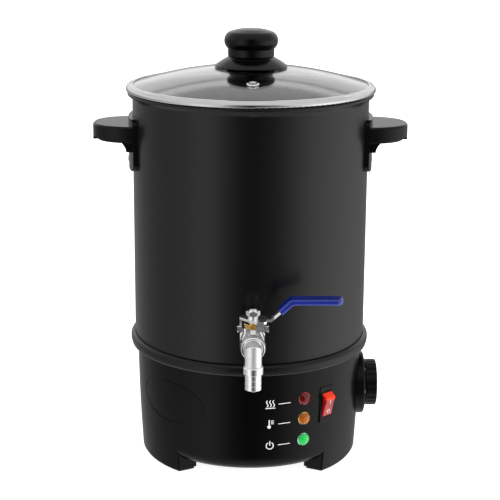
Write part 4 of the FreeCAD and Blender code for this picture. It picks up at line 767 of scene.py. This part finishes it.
rise.color_ramp.elements[0].color = (CEIL[0][1] / 2.0,) * 3 + (1.0,)
for pos, v in CEIL[1:]:
    e = rise.color_ramp.elements.new(pos)
    e.color = (v / 2.0, v / 2.0, v / 2.0, 1.0)
back = wramp(fac, BACK)
high = wmix(back, wramp(fac, HIGH), wmath("MULTIPLY", rise.outputs[0], 2.0))
GAP = [(-180, 0.0), (-30, 0.0), (-20, 1.0), (0, 1.0), (20, 1.0), (32, 0.0), (180, 0.0)]
rim_z = wmath("SUBTRACT", sep.outputs[2], wmath("MULTIPLY", wramp(fac, GAP), 0.45))
side = wmix(wstep(rim_z, 0.0, 0.12), wramp(fac, LOW), high)
side = wmix(wstep(sep.outputs[2], 0.60, 0.95), side, 0.92)
down = wstep(wmath("MULTIPLY", sep.outputs[2], -1.0), 0.50, 0.80)
wt.links.new(wmix(down, side, 0.95), bg.inputs[0])
bg.inputs[1].default_value = 1.0
lp = wt.nodes.new("ShaderNodeLightPath")
wsh = wt.nodes.new("ShaderNodeMixShader")
wt.links.new(lp.outputs["Is Camera Ray"], wsh.inputs[0])
wt.links.new(bg.outputs[0], wsh.inputs[1])
wt.links.new(bg_cam.outputs[0], wsh.inputs[2])
wt.links.new(wsh.outputs[0], wo.inputs[0])

# floor
bm = bmesh.new()
bmesh.ops.create_grid(bm, x_segments=8, y_segments=8, size=6.0)
me = bpy.data.meshes.new("studio_floor")
bm.to_mesh(me)
bm.free()
floor = bpy.data.objects.new("studio_floor", me)
floor.location = (0.0, 0.0, -0.0004)
sc.collection.objects.link(floor)
fm = Mat("floor_paper")
fn = fm.noise(30.0, 3.0)
fm.set(Base_Color=fm.mix(fn, (0.86, 0.86, 0.86), (0.88, 0.88, 0.88)), Roughness=0.9)
fm.b.inputs["Emission Color"].default_value = (1.0, 1.0, 1.0, 1.0)
fm.b.inputs["Emission Strength"].default_value = 0.90
fm.b.inputs["Specular IOR Level"].default_value = 0.0
me.materials.append(fm.m)
floor.visible_glossy = False


def area(name, loc, target, size, power, spread=math.pi):
    d = bpy.data.lights.new(name, "AREA")
    d.shape = "RECTANGLE"
    d.size, d.size_y = size
    d.energy = power
    d.spread = spread
    o = bpy.data.objects.new(name, d)
    o.location = loc
    o.rotation_mode = "QUATERNION"
    o.rotation_quaternion = (Vector(target) - Vector(loc)).to_track_quat("-Z", "Y")
    sc.collection.objects.link(o)
    o.visible_camera = False
    return o


# camera, at the place recovered from the photograph's ellipses
CAM = Vector((-0.034508, -1.411970 + AXIS_Y, 0.584613))
FWD = Vector((0.0237856, 0.9666057, -0.2551621))
RIGHT = Vector((0.9997169, -0.0228594, 0.0065953))
UP = Vector((-0.0005422, 0.2552467, 0.9668758))
cd = bpy.data.cameras.new("photo_camera")
cd.sensor_width = 36.0
cd.lens = 1398.465 / 500.0 * 36.0
cd.clip_start, cd.clip_end = 0.01, 50.0
cam = bpy.data.objects.new("photo_camera", cd)
rot = Matrix((RIGHT, UP, -FWD)).transposed().to_4x4()
cam.matrix_world = Matrix.Translation(CAM) @ rot
sc.collection.objects.link(cam)
sc.camera = cam

sc.view_settings.view_transform = "Standard"
sc.view_settings.look = "None"
sc.view_settings.exposure = 0.0
sc.view_settings.gamma = 1.0
